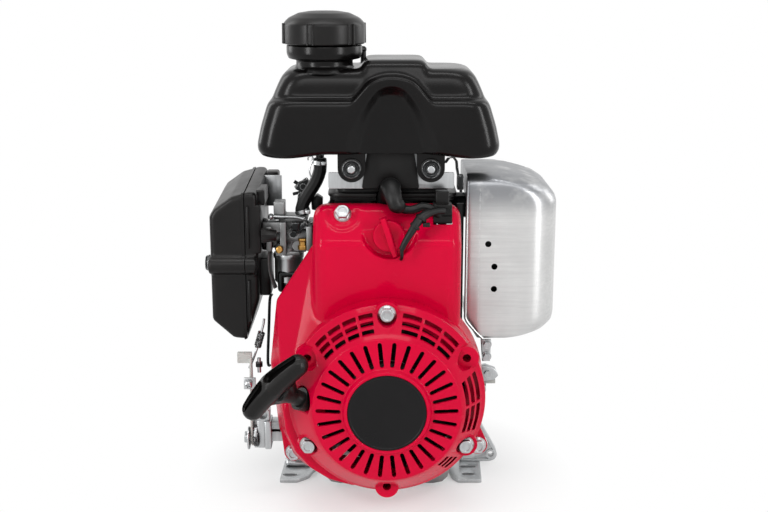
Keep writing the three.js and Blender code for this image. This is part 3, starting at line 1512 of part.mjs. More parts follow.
function airFilter() {
  const c = cleaner;
  const inset = c.wall + filter.wallGap;
  const height = c.top - c.bottom;
  const outline = roundedRectangle(
    cleanerBoss.y + cleanerBoss.radius + filter.wallGap, c.back - inset, c.bottom + height * filter.lowShare,
    c.bottom + height * filter.topShare, filter.corner,
  );
  return solid(prismX(outline, c.left + inset, c.split - edge));
}

// Exhaust

function mufflerCan(inset) {
  const m = muffler;
  const section = (trim, z) => ({
    outline: roundedRectangle(m.left + trim, m.right - trim, m.front + trim, m.back - trim, m.corner, 4),
    z,
  });
  return solid(loftZ([
    section(m.endRound + inset, m.bottom + inset), section(inset, m.bottom + m.endRound),
    section(inset, m.top - m.endRound), section(m.endRound + inset, m.top - inset),
  ]));
}

function mufflerBody() {
  const m = muffler;
  const e = exhaust;
  const flangeFace = barrel.finRight + edge + gap;
  const tailBack = shield.back + e.tailLength;
  const middle = (m.left + m.right) / 2;
  const flangePlate = stadium(e.y, e.z, e.flangeLength, e.flangeHeight);
  return cut(
    join(
      mufflerCan(0),
      solid(barX(flangeFace, m.left + m.corner, e.y, e.z, e.radius, sides.small)),
      solid(prismX(flangePlate, flangeFace, flangeFace + e.flangeThickness)),
      solid(barY(m.back - edge, tailBack, middle, e.tailZ, e.tail, sides.small)),
    ),
    mufflerCan(m.wall),
    solid(barX(flangeFace - overrun, m.left + m.corner, e.y, e.z, e.radius - e.wall, sides.small)),
    solid(barY(m.back - m.corner, tailBack + overrun, middle, e.tailZ, e.tail - edge, sides.small)),
  );
}

// The shield's outline seen from above, cut back by each level's shares
function shieldBlock(inset) {
  const s = shield;
  const width = s.right - s.left;
  const depth = s.back - s.front;
  const height = s.top - s.bottom - inset * 2;
  const back = s.back + inset * overrun;
  return solid(hull(shieldLevelShares.flatMap((level) => {
    const z = s.bottom + inset + height * level.z;
    const left = s.left + inset + width * level.left;
    const right = s.right - inset - width * level.right;
    const front = s.front + inset + depth * level.front;
    const corner = shieldCornerShares.map((p) => [Math.max(left, right - width * p.x), front + depth * p.y]);
    return [[left, front], ...corner, [right, back], [left, back]].map(([x, y]) => new THREE.Vector3(x, y, z));
  })));
}

function mufflerShield() {
  const s = shield;
  const holes = shieldHoles.map(({ x, z }) => (
    solid(barY(s.front - overrun, s.front + overrun, x, z, s.hole, sides.tiny))
  ));
  const opening = box(
    s.left - overrun, s.left + s.wall + overrun, s.front + s.returnLip, s.back + overrun, s.bottom + s.openLow,
    s.top - s.openHigh,
  );
  return cut(shieldBlock(0), shieldBlock(s.wall), solid(opening), ...holes);
}

// Feet

function footPlate(outer, inner, slotX) {
  const [left, right] = [Math.min(outer, inner), Math.max(outer, inner)];
  const outline = roundedRectangle(left, right, foot.front, foot.back, foot.corner);
  const holes = [footSlot.front, footSlot.back].map((y) => (
    stadium(slotX, y, footSlot.length, footSlot.width).reverse()
  ));
  return prismZ(outline, 0, foot.thickness, holes);
}

function footLeft() {
  return solid(footPlate(foot.leftOuter, foot.leftInner, footSlot.leftX));
}

function footRight() {
  const g = gusset;
  const outline = [
    [g.left, 0], [g.right - g.low, 0], [g.right - g.low / 2, g.low], [g.right, g.shoulder],
    [g.right - g.topInset, g.top],
  ].map((p) => new THREE.Vector2(...p));
  const holeX = g.right - g.holeInset;
  const squareX = g.right - g.squareInset;
  const half = g.square / 2;
  const squareZ = g.shoulder + g.hole + half;
  const holes = [
    circle(g.hole, sides.tiny, holeX, g.shoulder - g.hole),
    rectangle(squareX - half, squareX + half, squareZ - half, squareZ + half),
  ].map((hole) => hole.reverse());
  return join(
    solid(footPlate(foot.rightOuter, foot.rightInner, footSlot.rightX)),
    solid(prismY(outline, g.front, g.front + g.thickness, holes)),
  );
}

// Controls

function controlBase() {
  const c = control;
  const tab = controlTab;
  const left = c.x - c.plate;
  const disc = barX(left, c.x, c.pivotY, c.pivotZ, c.radius, sides.small);
  const frontTab = prismY(
    roundedRectangle(left, tab.right, tab.bottom, tab.top, edge * 2), c.pivotY - c.plate, c.pivotY,
  );
  const strutEnd = leftBolt.x + hoodEar.radius;
  const strut = barX(c.x - edge, strutEnd, c.pivotY + c.radius, c.pivotZ, c.tube, sides.tiny);
  const bolt = barX(c.x - c.radius, c.x, c.pivotY, c.pivotZ, c.bolt, sides.tiny);
  const holeX = tab.right - tab.holeInset;
  const holeZ = (tab.bottom + tab.top) / 2;
  return cut(
    join(solid(disc), solid(frontTab), solid(strut), solid(bolt)), leftArm(gap),
    solid(barY(c.pivotY - overrun * 2, c.pivotY + edge, holeX, holeZ, tab.hole, sides.tiny)),
  );
}

function controlLeverBody() {
  const l = controlLever;
  const c = control;
  const left = leverFace - l.thickness;
  const foot = circle(l.width, sides.small, c.pivotY, c.pivotZ);
  const tip = circle(l.width / 2, sides.tiny, c.pivotY, leverTop);
  const plate = hull([...foot, ...tip].flatMap((p) => [atX(p, left), atX(p, leverFace)]));
  const blade = box(
    leverFace - l.bladeReach, leverFace, c.pivotY - l.thickness, c.pivotY + l.thickness, leverTop,
    leverTop + l.bladeHeight,
  );
  return cut(
    join(solid(plate), solid(blade)),
    solid(barX(left - overrun, leverFace + overrun, c.pivotY, c.pivotZ, c.bolt + gap, sides.tiny)),
  );
}

function governorArm() {
  const g = governor;
  const left = g.x - g.thickness;
  const root = circle(g.root, sides.tiny, g.y, g.z);
  const tip = circle(g.width / 2, sides.tiny, g.y + g.lean, g.z + g.rise);
  const plate = hull([...root, ...tip].flatMap((p) => [atX(p, left), atX(p, g.x)]));
  return join(
    solid(plate),
    solid(barX(left - g.width / 2, crankcase.left - gap, g.y, g.z, g.shaft, sides.tiny)),
  );
}

function oilCapBody() {
  const o = oilCap;
  const face = oilFiller.end + gap;
  const rim = face + o.thickness;
  const half = o.radius - edge;
  return join(
    solid(barX(face, rim, oilFiller.y, oilFiller.z, o.radius, sides.small, half)),
    solid(box(
      rim - edge, rim + o.gripHeight, oilFiller.y - half, oilFiller.y + half, oilFiller.z - o.grip / 2,
      oilFiller.z + o.grip / 2,
    )),
    solid(barX(face - o.plugLength, face + edge, oilFiller.y, oilFiller.z, o.plugRadius, sides.small)),
  );
}

// Finishes: colour, roughness, metalness
const finishes = {
  redPaint: ['#c8002e', 0.3, 0.1],
  blackPlastic: ['#171514', 0.45, 0],
  badgeBlack: ['#2d2d2d', 0.4, 0],
  castAluminium: ['#a9abad', 0.5, 0.8],
  zincSteel: ['#b9bcbe', 0.35, 0.9],
  brushedAluminium: ['#d2d4d6', 0.35, 0.95],
  darkSteel: ['#3a3b3d', 0.45, 0.8],
  steel: ['#8f9296', 0.35, 0.95],
  rubber: ['#121212', 0.8, 0],
  foam: ['#3f4247', 0.95, 0],
  paleGrey: ['#b9bab6', 0.5, 0],
  ropeFibre: ['#d9d6cd', 0.9, 0],
};

function named(name, body, finish) {
  const [color, roughness, metalness] = finishes[finish];
  const mesh = new THREE.Mesh(surface(body), new THREE.MeshStandardMaterial({ color, roughness, metalness }));
  mesh.name = name;
  return mesh;
}

function groupAt(x, y, z, meshes) {
  const group = new THREE.Group();
  group.position.set(x, y, z);
  group.add(...meshes);
  return group;
}

function rotatingParts() {
  return groupAt(crankX, 0, crankHeight, [
    named('crankshaft_front', crankshaftFront(), 'steel'),
    named('crankshaft_rear', crankshaftRear(), 'steel'),
    named('shaft_key', shaftKey(), 'darkSteel'),
    named('flywheel', flywheelBody(), 'castAluminium'),
    named('starter_cup', starterCup(), 'darkSteel'),
    named('front_bearing', ballBearing(frontBearingY), 'steel'),
    named('rear_bearing', ballBearing(rearBearingY), 'steel'),
  ]);
}

function pistonParts() {
  return groupAt(crankX, cylinderY, wristHeight, [
    named('piston', pistonBody(), 'castAluminium'),
    named('piston_pin', pistonPinBody(), 'steel'),
    named('connecting_rod', connectingRod(), 'castAluminium'),
    named('crank_pin', crankPinBody(), 'steel'),
  ]);
}

function starterParts() {
  return groupAt(crankX, 0, crankHeight, [
    named('recoil_cover', recoilCover(), 'redPaint'),
    named('recoil_badge', recoilBadge(), 'badgeBlack'),
    named('recoil_reel', recoilReel(), 'blackPlastic'),
    named('recoil_handle', recoilHandle(), 'blackPlastic'),
    named('starter_rope', starterRope(), 'ropeFibre'),
  ]);
}

function castings() {
  return [
    named('crankcase', crankcaseBody(), 'castAluminium'),
    named('crankcase_cover', crankcaseCover(), 'castAluminium'),
    named('cylinder_head', cylinderHead(), 'castAluminium'),
    named('head_cover', headCoverBody(), 'zincSteel'),
    named('oil_cap', oilCapBody(), 'paleGrey'),
  ];
}

function ignitionParts() {
  return [
    named('spark_plug', sparkPlug(), 'steel'),
    named('plug_cap', plugCap(), 'rubber'),
    named('ignition_lead', ignitionLead(), 'rubber'),
    named('lead_block', leadBlockBody(), 'blackPlastic'),
    named('ignition_coil', ignitionCoil(), 'darkSteel'),
  ];
}

function hoodParts() {
  return [
    named('fan_cover', fanCover(), 'redPaint'),
    groupAt(knob.x, 0, knob.z, [named('switch_knob', switchKnob(), 'redPaint')]),
    named('recoil_bolt_top', starterBolt(recoilBolts.top), 'darkSteel'),
    named('recoil_bolt_left', starterBolt(recoilBolts.left), 'darkSteel'),
    named('recoil_bolt_right', starterBolt(recoilBolts.right), 'darkSteel'),
    named('fan_bolt_top', boltAlong(topBoltPoint(0), leanAxis), 'darkSteel'),
    named('fan_bolt_left', boltAlong(leftBolt, towardStarter), 'darkSteel'),
    named('fan_bolt_right', boltAlong(rightBolt, towardStarter), 'darkSteel'),
  ];
}

function fuelParts() {
  return [
    named('fuel_tank', fuelTank(), 'blackPlastic'),
    named('filler_neck', fillerNeck(), 'blackPlastic'),
    groupAt(neck.x, neck.y, 0, [
      named('fuel_cap', fuelCap(), 'blackPlastic'),
      named('cap_gasket', capGasket(), 'rubber'),
    ]),
    named('tank_grommet_left', tankGrommet(ear.left), 'rubber'),
    named('tank_grommet_right', tankGrommet(ear.right), 'rubber'),
    named('tank_bolt_left', tankBolt(ear.left), 'zincSteel'),
    named('tank_bolt_right', tankBolt(ear.right), 'zincSteel'),
    named('tank_bracket', tankBracket(), 'zincSteel'),
    named('bracket_guard', bracketGuard(), 'blackPlastic'),
    named('fuel_hose', fuelHose(), 'rubber'),
  ];
}

function inductionParts() {
  return [
    named('carburetor', carburetor(), 'castAluminium'),
    groupAt(bowl.x, throat.y, 0, [named('float_bowl', floatBowl(), 'zincSteel')]),
    named('intake_manifold', intakeManifold(), 'blackPlastic'),
    named('choke_lever', chokeLeverBody(), 'blackPlastic'),
    named('air_cleaner_case', airCleanerCase(), 'blackPlastic'),
    named('air_cleaner_cover', airCleanerCover(), 'blackPlastic'),
    named('air_cleaner_nut', airCleanerNut(), 'darkSteel'),
    named('air_filter', airFilter(), 'foam'),
  ];
}

function exhaustParts() {
  return [
    named('muffler', mufflerBody(), 'zincSteel'),
    named('muffler_shield', mufflerShield(), 'brushedAluminium'),
  ];
}

function frameParts() {
  return [
    named('foot_left', footLeft(), 'zincSteel'),
    named('foot_right', footRight(), 'zincSteel'),
    named('control_base', controlBase(), 'zincSteel'),
    named('control_lever', controlLeverBody(), 'paleGrey'),
    named('governor_arm', governorArm(), 'zincSteel'),
  ];
}

const engine = new THREE.Group();
engine.add(
  rotatingParts(), pistonParts(), starterParts(), ...castings(), ...ignitionParts(), ...hoodParts(),
  ...fuelParts(), ...inductionParts(), ...exhaustParts(), ...frameParts(),
);

export default engine;
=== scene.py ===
# Looks of the small air-cooled engine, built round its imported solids.
# Sizes in the tables are millimetres in the engine's own frame; everything placed is in metres.

import json
import math

import bmesh
import bpy
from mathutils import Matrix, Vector


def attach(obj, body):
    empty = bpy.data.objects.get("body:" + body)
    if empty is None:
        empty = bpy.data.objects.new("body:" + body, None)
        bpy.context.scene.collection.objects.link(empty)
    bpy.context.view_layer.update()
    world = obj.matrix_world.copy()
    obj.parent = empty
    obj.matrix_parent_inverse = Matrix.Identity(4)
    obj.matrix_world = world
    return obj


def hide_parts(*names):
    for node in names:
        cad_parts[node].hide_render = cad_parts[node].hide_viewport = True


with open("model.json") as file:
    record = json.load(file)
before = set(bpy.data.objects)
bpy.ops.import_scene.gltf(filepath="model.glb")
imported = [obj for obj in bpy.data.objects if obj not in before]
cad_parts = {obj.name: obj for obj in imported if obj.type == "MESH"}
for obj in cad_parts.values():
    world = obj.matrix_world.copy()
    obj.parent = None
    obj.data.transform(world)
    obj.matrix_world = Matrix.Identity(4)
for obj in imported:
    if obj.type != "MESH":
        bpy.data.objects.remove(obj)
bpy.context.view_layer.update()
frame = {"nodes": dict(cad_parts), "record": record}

MM = 0.001
X, Y, Z = Vector((1, 0, 0)), Vector((0, 1, 0)), Vector((0, 0, 1))

# Where the main axes lie
CRANK = Vector((4, 0, 105))
NECK = Vector((-45.6, -30, 0))

# How finely the rounds are divided
FINE, ROUND, SMALL = 180, 96, 32


# Shader groups

def group_with(name, inputs, outputs):
    """An empty shader node group with named sockets, and its input and output nodes."""
    group = bpy.data.node_groups.new(name, "ShaderNodeTree")
    for label, kind, value in inputs:
        socket = group.interface.new_socket(label, in_out="INPUT", socket_type=kind)
        socket.default_value = value
    for label, kind in outputs:
        group.interface.new_socket(label, in_out="OUTPUT", socket_type=kind)
    return group, group.nodes.new("NodeGroupInput"), group.nodes.new("NodeGroupOutput")


def add(tree, kind, **settings):
    node = tree.nodes.new(kind)
    for label, value in settings.items():
        setattr(node, label, value)
    return node


def math_node(tree, operation, a, b=None, clamp=False):
    """A Math node whose inputs are sockets or plain numbers."""
    node = add(tree, "ShaderNodeMath", operation=operation, use_clamp=clamp)
    for slot, value in enumerate((a, b)):
        if value is None:
            continue
        if isinstance(value, bpy.types.NodeSocket):
            tree.links.new(value, node.inputs[slot])
        else:
            node.inputs[slot].default_value = value
    return node.outputs[0]


def noise(tree, vector, scale, detail=3.0, roughness=0.55):
    node = add(tree, "ShaderNodeTexNoise")
    tree.links.new(vector, node.inputs["Vector"])
    if isinstance(scale, bpy.types.NodeSocket):
        tree.links.new(scale, node.inputs["Scale"])
    else:
        node.inputs["Scale"].default_value = scale
    node.inputs["Detail"].default_value = detail
    node.inputs["Roughness"].default_value = roughness
    return node.outputs["Fac"]


def spread(tree, value, low, high):
    """Stretches the part of a value between low and high to 0 to 1."""
    node = add(tree, "ShaderNodeMapRange")
    tree.links.new(value, node.inputs["Value"])
    node.inputs["From Min"].default_value = low
    node.inputs["From Max"].default_value = high
    return node.outputs["Result"]


def grain_group():
    """Fine even grain, as of moulded plastic or a blasted casting: a height and a mottling mask."""
    group, given, out = group_with(
        "moulded_grain",
        [("Scale", "NodeSocketFloat", 900.0), ("Mottle Scale", "NodeSocketFloat", 40.0)],
        [("Height", "NodeSocketFloat"), ("Mottle", "NodeSocketFloat")],
    )
    place = add(group, "ShaderNodeTexCoord").outputs["Object"]
    fine = noise(group, place, given.outputs["Scale"], 2.0)
    broad = noise(group, place, given.outputs["Mottle Scale"], 4.0, 0.6)
    group.links.new(fine, out.inputs["Height"])
    group.links.new(spread(group, broad, 0.35, 0.65), out.inputs["Mottle"])
    return group


def brushed_group():
    """Streaks of a brushed or rolled sheet that run along one axis."""
    group, given, out = group_with(
        "brushed_streaks",
        [("Stretch", "NodeSocketVector", (1.0, 1.0, 0.02)), ("Scale", "NodeSocketFloat", 500.0)],
        [("Height", "NodeSocketFloat"), ("Streak", "NodeSocketFloat")],
    )
    place = add(group, "ShaderNodeTexCoord").outputs["Object"]
    stretched = add(group, "ShaderNodeVectorMath", operation="MULTIPLY")
    group.links.new(place, stretched.inputs[0])
    group.links.new(given.outputs["Stretch"], stretched.inputs[1])
    fine = noise(group, stretched.outputs[0], given.outputs["Scale"], 4.0, 0.7)
    group.links.new(fine, out.inputs["Height"])
    group.links.new(spread(group, fine, 0.3, 0.7), out.inputs["Streak"])
    return group


def dust_group():
    """A thin haze of dust on faces that look up, broken by noise."""
    group, given, out = group_with(
        "settled_dust",
        [("Amount", "NodeSocketFloat", 0.3), ("Scale", "NodeSocketFloat", 60.0)],
        [("Mask", "NodeSocketFloat")],
    )
    normal = add(group, "ShaderNodeNewGeometry").outputs["Normal"]
    split = add(group, "ShaderNodeSeparateXYZ")
    group.links.new(normal, split.inputs[0])
    upward = spread(group, split.outputs["Z"], 0.3, 1.0)
    place = add(group, "ShaderNodeTexCoord").outputs["Object"]
    broken = spread(group, noise(group, place, given.outputs["Scale"], 5.0, 0.65), 0.35, 0.7)
    both = math_node(group, "MULTIPLY", upward, broken)
    mask = math_node(group, "MULTIPLY", both, given.outputs["Amount"], clamp=True)
    group.links.new(mask, out.inputs["Mask"])
    return group


def worn_edge_group():
    """Outer edges, where handling has rubbed the finish."""
    group, given, out = group_with(
        "worn_edges",
        [("Radius", "NodeSocketFloat", 0.0008), ("Amount", "NodeSocketFloat", 1.0)],
        [("Mask", "NodeSocketFloat")],
    )
    soft = add(group, "ShaderNodeBevel", samples=4)
    group.links.new(given.outputs["Radius"], soft.inputs["Radius"])
    true_normal = add(group, "ShaderNodeNewGeometry").outputs["Normal"]
    dot = add(group, "ShaderNodeVectorMath", operation="DOT_PRODUCT")
    group.links.new(soft.outputs["Normal"], dot.inputs[0])
    group.links.new(true_normal, dot.inputs[1])
    turned = math_node(group, "SUBTRACT", 1.0, dot.outputs["Value"])
    place = add(group, "ShaderNodeTexCoord").outputs["Object"]
    broken = spread(group, noise(group, place, 300.0, 3.0), 0.35, 0.6)
    edge = spread(group, turned, 0.02, 0.15)
    mask = math_node(group, "MULTIPLY", edge, broken)
    group.links.new(
        math_node(group, "MULTIPLY", mask, given.outputs["Amount"], clamp=True), out.inputs["Mask"],
    )
    return group


def crevice_shade_group():
    """Painted shade in hollows and inner corners that light hardly reaches, from ambient occlusion broken up
    by noise.
    """
    group, given, out = group_with(
        "grimy_crevices",
        [("Reach", "NodeSocketFloat", 0.01), ("Amount", "NodeSocketFloat", 1.0)],
        [("Mask", "NodeSocketFloat")],
    )
    open_sky = add(group, "ShaderNodeAmbientOcclusion", samples=6)
    group.links.new(given.outputs["Reach"], open_sky.inputs["Distance"])
    hidden = math_node(group, "SUBTRACT", 1.0, open_sky.outputs["AO"])
    deep = spread(group, hidden, 0.3, 0.85)
    place = add(group, "ShaderNodeTexCoord").outputs["Object"]
    patchy = spread(group, noise(group, place, 120.0, 4.0), 0.1, 0.6)
    mask = math_node(group, "MULTIPLY", deep, patchy)
    group.links.new(
        math_node(group, "MULTIPLY", mask, given.outputs["Amount"], clamp=True), out.inputs["Mask"],
    )
    return group


def top_shade_group():
    """Painted shade that greys a sheet's top in clouds, growing from an unshaded height to a fully shaded
    higher one.
    """
    group, given, out = group_with(
        "heat_tarnish",
        [("Cool", "NodeSocketFloat", 0.2), ("Hot", "NodeSocketFloat", 0.25)],
        [("Mask", "NodeSocketFloat")],
    )
    place = add(group, "ShaderNodeTexCoord").outputs["Object"]
    height = add(group, "ShaderNodeSeparateXYZ")
    group.links.new(place, height.inputs["Vector"])
    rise = add(group, "ShaderNodeMapRange", interpolation_type="SMOOTHSTEP")
    group.links.new(height.outputs["Z"], rise.inputs["Value"])
    group.links.new(given.outputs["Cool"], rise.inputs["From Min"])
    group.links.new(given.outputs["Hot"], rise.inputs["From Max"])
    clouds = spread(group, noise(group, place, 60.0, 3.0), 0.1, 0.5)
    mask = math_node(group, "MULTIPLY", rise.outputs["Result"], clouds, clamp=True)
    group.links.new(mask, out.inputs["Mask"])
    return group


GRAIN, BRUSHED, DUST, WORN = grain_group(), brushed_group(), dust_group(), worn_edge_group()
# Painted shade: darkened crevices, and a darkened top for sheets
CREVICE_SHADE, TOP_SHADE = crevice_shade_group(), top_shade_group()


# Materials

def linear(hex_colour):
    """The colour of a hex code as the shader wants it."""
    values = [int(hex_colour[i:i + 2], 16) / 255 for i in (1, 3, 5)]
    return tuple(v / 12.92 if v <= 0.04045 else ((v + 0.055) / 1.055) ** 2.4 for v in values)


class Finish:
    """A material under construction: its Principled shader and the effects placed in it."""

    def __init__(self, name, colour, roughness, metallic=0.0):
        self.material = bpy.data.materials.new(name)
        self.material.use_nodes = True
        self.tree = self.material.node_tree
        self.shader = self.tree.nodes["Principled BSDF"]
        self.colour = self.plain(colour)
        self.shader.inputs["Roughness"].default_value = roughness
        self.shader.inputs["Metallic"].default_value = metallic
        self.material.diffuse_color = (*linear(colour), 1)

    def plain(self, colour):
        node = add(self.tree, "ShaderNodeRGB")
        node.outputs[0].default_value = (*linear(colour), 1)
        return node.outputs[0]

    def effect(self, group, **values):
        node = add(self.tree, "ShaderNodeGroup", node_tree=group)
        for label, value in values.items():
            node.inputs[label.replace("_", " ")].default_value = value
        return node.outputs

    def tint(self, mask, colour, amount=1.0):
        """Lays another colour over the first where the mask is high."""
        mix = add(self.tree, "ShaderNodeMix", data_type="RGBA")
        self.tree.links.new(math_node(self.tree, "MULTIPLY", mask, amount), mix.inputs["Factor"])
        self.tree.links.new(self.colour, mix.inputs["A"])
        self.tree.links.new(self.plain(colour), mix.inputs["B"])
        self.colour = mix.outputs["Result"]

    def rough(self, mask, low, high):
        node = add(self.tree, "ShaderNodeMapRange")
        self.tree.links.new(mask, node.inputs["Value"])
        node.inputs["To Min"].default_value = low
        node.inputs["To Max"].default_value = high
        self.tree.links.new(node.outputs["Result"], self.shader.inputs["Roughness"])

    def bump(self, height, depth, strength=1.0):
        node = add(self.tree, "ShaderNodeBump")
        node.inputs["Distance"].default_value = depth
        node.inputs["Strength"].default_value = strength
        self.tree.links.new(height, node.inputs["Height"])
        self.tree.links.new(node.outputs["Normal"], self.shader.inputs["Normal"])

    def coat(self, weight, roughness):
        self.shader.inputs["Coat Weight"].default_value = weight
        self.shader.inputs["Coat Roughness"].default_value = roughness

    def gloss(self, level):
        """How strongly the bare surface mirrors; half is the usual level of a clear plastic."""
        self.shader.inputs["Specular IOR Level"].default_value = level

    def done(self):
        self.tree.links.new(self.colour, self.shader.inputs["Base Color"])
        return self.material


def red_enamel():
    paint = Finish("red_enamel", "#c0002f", 0.26)
    grain = paint.effect(GRAIN, Scale=260.0, Mottle_Scale=18.0)
    paint.tint(grain["Mottle"], "#b8002c", 0.3)
    # Painted shade: crevices darkened to a deep red
    hollow = paint.effect(CREVICE_SHADE, Reach=0.014, Amount=0.55)
    paint.tint(hollow["Mask"], "#5a0014")
    paint.rough(grain["Mottle"], 0.2, 0.28)
    paint.bump(grain["Height"], 0.00005, 0.3)
    paint.coat(0.12, 0.04)
    paint.gloss(0.05)
    return paint.done()


def black_moulding():
    plastic = Finish("black_moulding", "#0d0c0c", 0.34)
    grain = plastic.effect(GRAIN, Scale=1400.0, Mottle_Scale=30.0)
    plastic.tint(grain["Mottle"], "#141211", 0.6)
    dust = plastic.effect(DUST, Amount=0.1, Scale=45.0)
    plastic.tint(dust["Mask"], "#5c5855")
    plastic.rough(grain["Mottle"], 0.3, 0.4)
    plastic.bump(grain["Height"], 0.00005, 0.3)
    plastic.gloss(0.22)
    return plastic.done()


def tank_moulding():
    plastic = Finish("tank_moulding", "#070606", 0.3)
    grain = plastic.effect(GRAIN, Scale=1100.0, Mottle_Scale=22.0)
    plastic.tint(grain["Mottle"], "#0d0b0b", 0.5)
    plastic.rough(grain["Mottle"], 0.2, 0.26)
    plastic.bump(grain["Height"], 0.00003, 0.12)
    plastic.gloss(0.18)
    return plastic.done()


def badge_lacquer():
    disc = Finish("badge_lacquer", "#0d0c0d", 0.3)
    grain = disc.effect(GRAIN, Scale=700.0, Mottle_Scale=35.0)
    disc.tint(grain["Mottle"], "#131213", 0.5)
    disc.rough(grain["Mottle"], 0.27, 0.34)
    disc.bump(grain["Height"], 0.00003, 0.3)
    disc.gloss(0.18)
    return disc.done()


def cast_alloy(name, colour, shade, worn_colour, shade_amount):
    metal = Finish(name, colour, 0.5, 0.85)
    grain = metal.effect(GRAIN, Scale=900.0, Mottle_Scale=60.0)
    metal.tint(grain["Mottle"], shade, 0.6)
    worn = metal.effect(WORN, Radius=0.0008, Amount=0.8)
    metal.tint(worn["Mask"], worn_colour)
    # Painted shade: crevices darkened to near black
    hollow = metal.effect(CREVICE_SHADE, Reach=0.016, Amount=shade_amount)
    metal.tint(hollow["Mask"], "#0d0c0b")
    metal.rough(grain["Mottle"], 0.36, 0.52)
    metal.bump(grain["Height"], 0.00018, 0.5)
    return metal.done()


def sheet_metal(name, colour, shade, stretch, low, high, uneven=0.5, shade_amount=0.7, shade_heights=None):
    metal = Finish(name, colour, low, 0.95)
    streaks = metal.effect(BRUSHED, Stretch=stretch, Scale=420.0)
    metal.tint(streaks["Streak"], shade, uneven)
    grain = metal.effect(GRAIN, Scale=700.0, Mottle_Scale=26.0)
    metal.tint(grain["Mottle"], shade, uneven * 0.7)
    # Painted shade: the sheet greys in clouds towards its top
    if shade_heights:
        tarnish = metal.effect(TOP_SHADE, Cool=shade_heights[0], Hot=shade_heights[1])
        metal.tint(tarnish["Mask"], "#7c7e82", 0.85)
    worn = metal.effect(WORN, Radius=0.0007, Amount=0.7)
    metal.tint(worn["Mask"], "#f0f1f2")
    # Painted shade: crevices darkened to near black
    hollow = metal.effect(CREVICE_SHADE, Reach=0.01, Amount=shade_amount)
    metal.tint(hollow["Mask"], "#171513")
    metal.rough(streaks["Streak"], low, high)
    metal.bump(streaks["Height"], 0.00004, 0.35)
    return metal.done()


def rubber_moulding():
    rubber = Finish("rubber_moulding", "#090909", 0.45)
    grain = rubber.effect(GRAIN, Scale=1600.0, Mottle_Scale=50.0)
    rubber.tint(grain["Mottle"], "#101010", 0.7)
    rubber.rough(grain["Mottle"], 0.36, 0.48)
    rubber.bump(grain["Height"], 0.00005, 0.4)
    rubber.gloss(0.26)
    return rubber.done()


def filter_foam():
    foam = Finish("filter_foam", "#3f4247", 0.95)
    cells = add(foam.tree, "ShaderNodeTexVoronoi")
    foam.tree.links.new(add(foam.tree, "ShaderNodeTexCoord").outputs["Object"], cells.inputs["Vector"])
    cells.inputs["Scale"].default_value = 900.0
    foam.tint(cells.outputs["Distance"], "#1d1f22", 0.9)
    foam.bump(cells.outputs["Distance"], 0.0006)
    return foam.done()


def pale_moulding():
    plastic = Finish("pale_moulding", "#b4b5b1", 0.45)
    grain = plastic.effect(GRAIN, Scale=1200.0, Mottle_Scale=40.0)
    plastic.tint(grain["Mottle"], "#a3a49f", 0.6)
    plastic.rough(grain["Mottle"], 0.4, 0.52)
    plastic.bump(grain["Height"], 0.00006, 0.4)
    return plastic.done()


def rope_fibre():
    fibre = Finish("rope_fibre", "#d6d2c8", 0.9)
    strands = add(fibre.tree, "ShaderNodeTexWave", wave_type="BANDS", bands_direction="DIAGONAL")
    fibre.tree.links.new(add(fibre.tree, "ShaderNodeTexCoord").outputs["Object"], strands.inputs["Vector"])
    strands.inputs["Scale"].default_value = 420.0
    fibre.tint(strands.outputs["Fac"], "#8f8a7e", 0.5)
    fibre.bump(strands.outputs["Fac"], 0.0002)
    return fibre.done()


def brass_turned():
    metal = Finish("brass_turned", "#c79a55", 0.3, 0.95)
    grain = metal.effect(GRAIN, Scale=800.0, Mottle_Scale=90.0)
    metal.tint(grain["Mottle"], "#a87c3c", 0.6)
    metal.rough(grain["Mottle"], 0.25, 0.42)
    metal.bump(grain["Height"], 0.00005, 0.4)
    return metal.done()


MATERIALS = {
    "red_paint": red_enamel(),
    "black_plastic": black_moulding(),
    "tank_plastic": tank_moulding(),
    "badge_black": badge_lacquer(),
    "cast_aluminium": cast_alloy("cast_alloy", "#8b8c8c", "#6d6e6e", "#c4c5c6", 0.95),
    "black_casting": cast_alloy("black_casting", "#2a2a2a", "#191919", "#5a5a5a", 0.95),
    "zinc_steel": sheet_metal("zinc_sheet", "#c3c5c6", "#96989a", (1, 1, 0.05), 0.26, 0.4),
    # The shield's sheet gets painted shade over its top
    "bright_aluminium": sheet_metal(
        "brushed_shield", "#d6d6d5", "#b9b9b9", (0.05, 0.6, 1), 0.3, 0.42, 0.6, 0.3, shade_heights=(0.232, 0.26),
    ),
    "dark_steel": sheet_metal("dark_plating", "#2e2f30", "#1a1b1b", (1, 0.2, 1), 0.3, 0.45),
    "steel": sheet_metal("turned_steel", "#a9acaf", "#84878a", (1, 0.1, 1), 0.24, 0.4),
    "rubber": rubber_moulding(),
    "foam": filter_foam(),
    "pale_grey": pale_moulding(),
    "rope_fibre": rope_fibre(),
    "brass": brass_turned(),
}


# Smooth edges

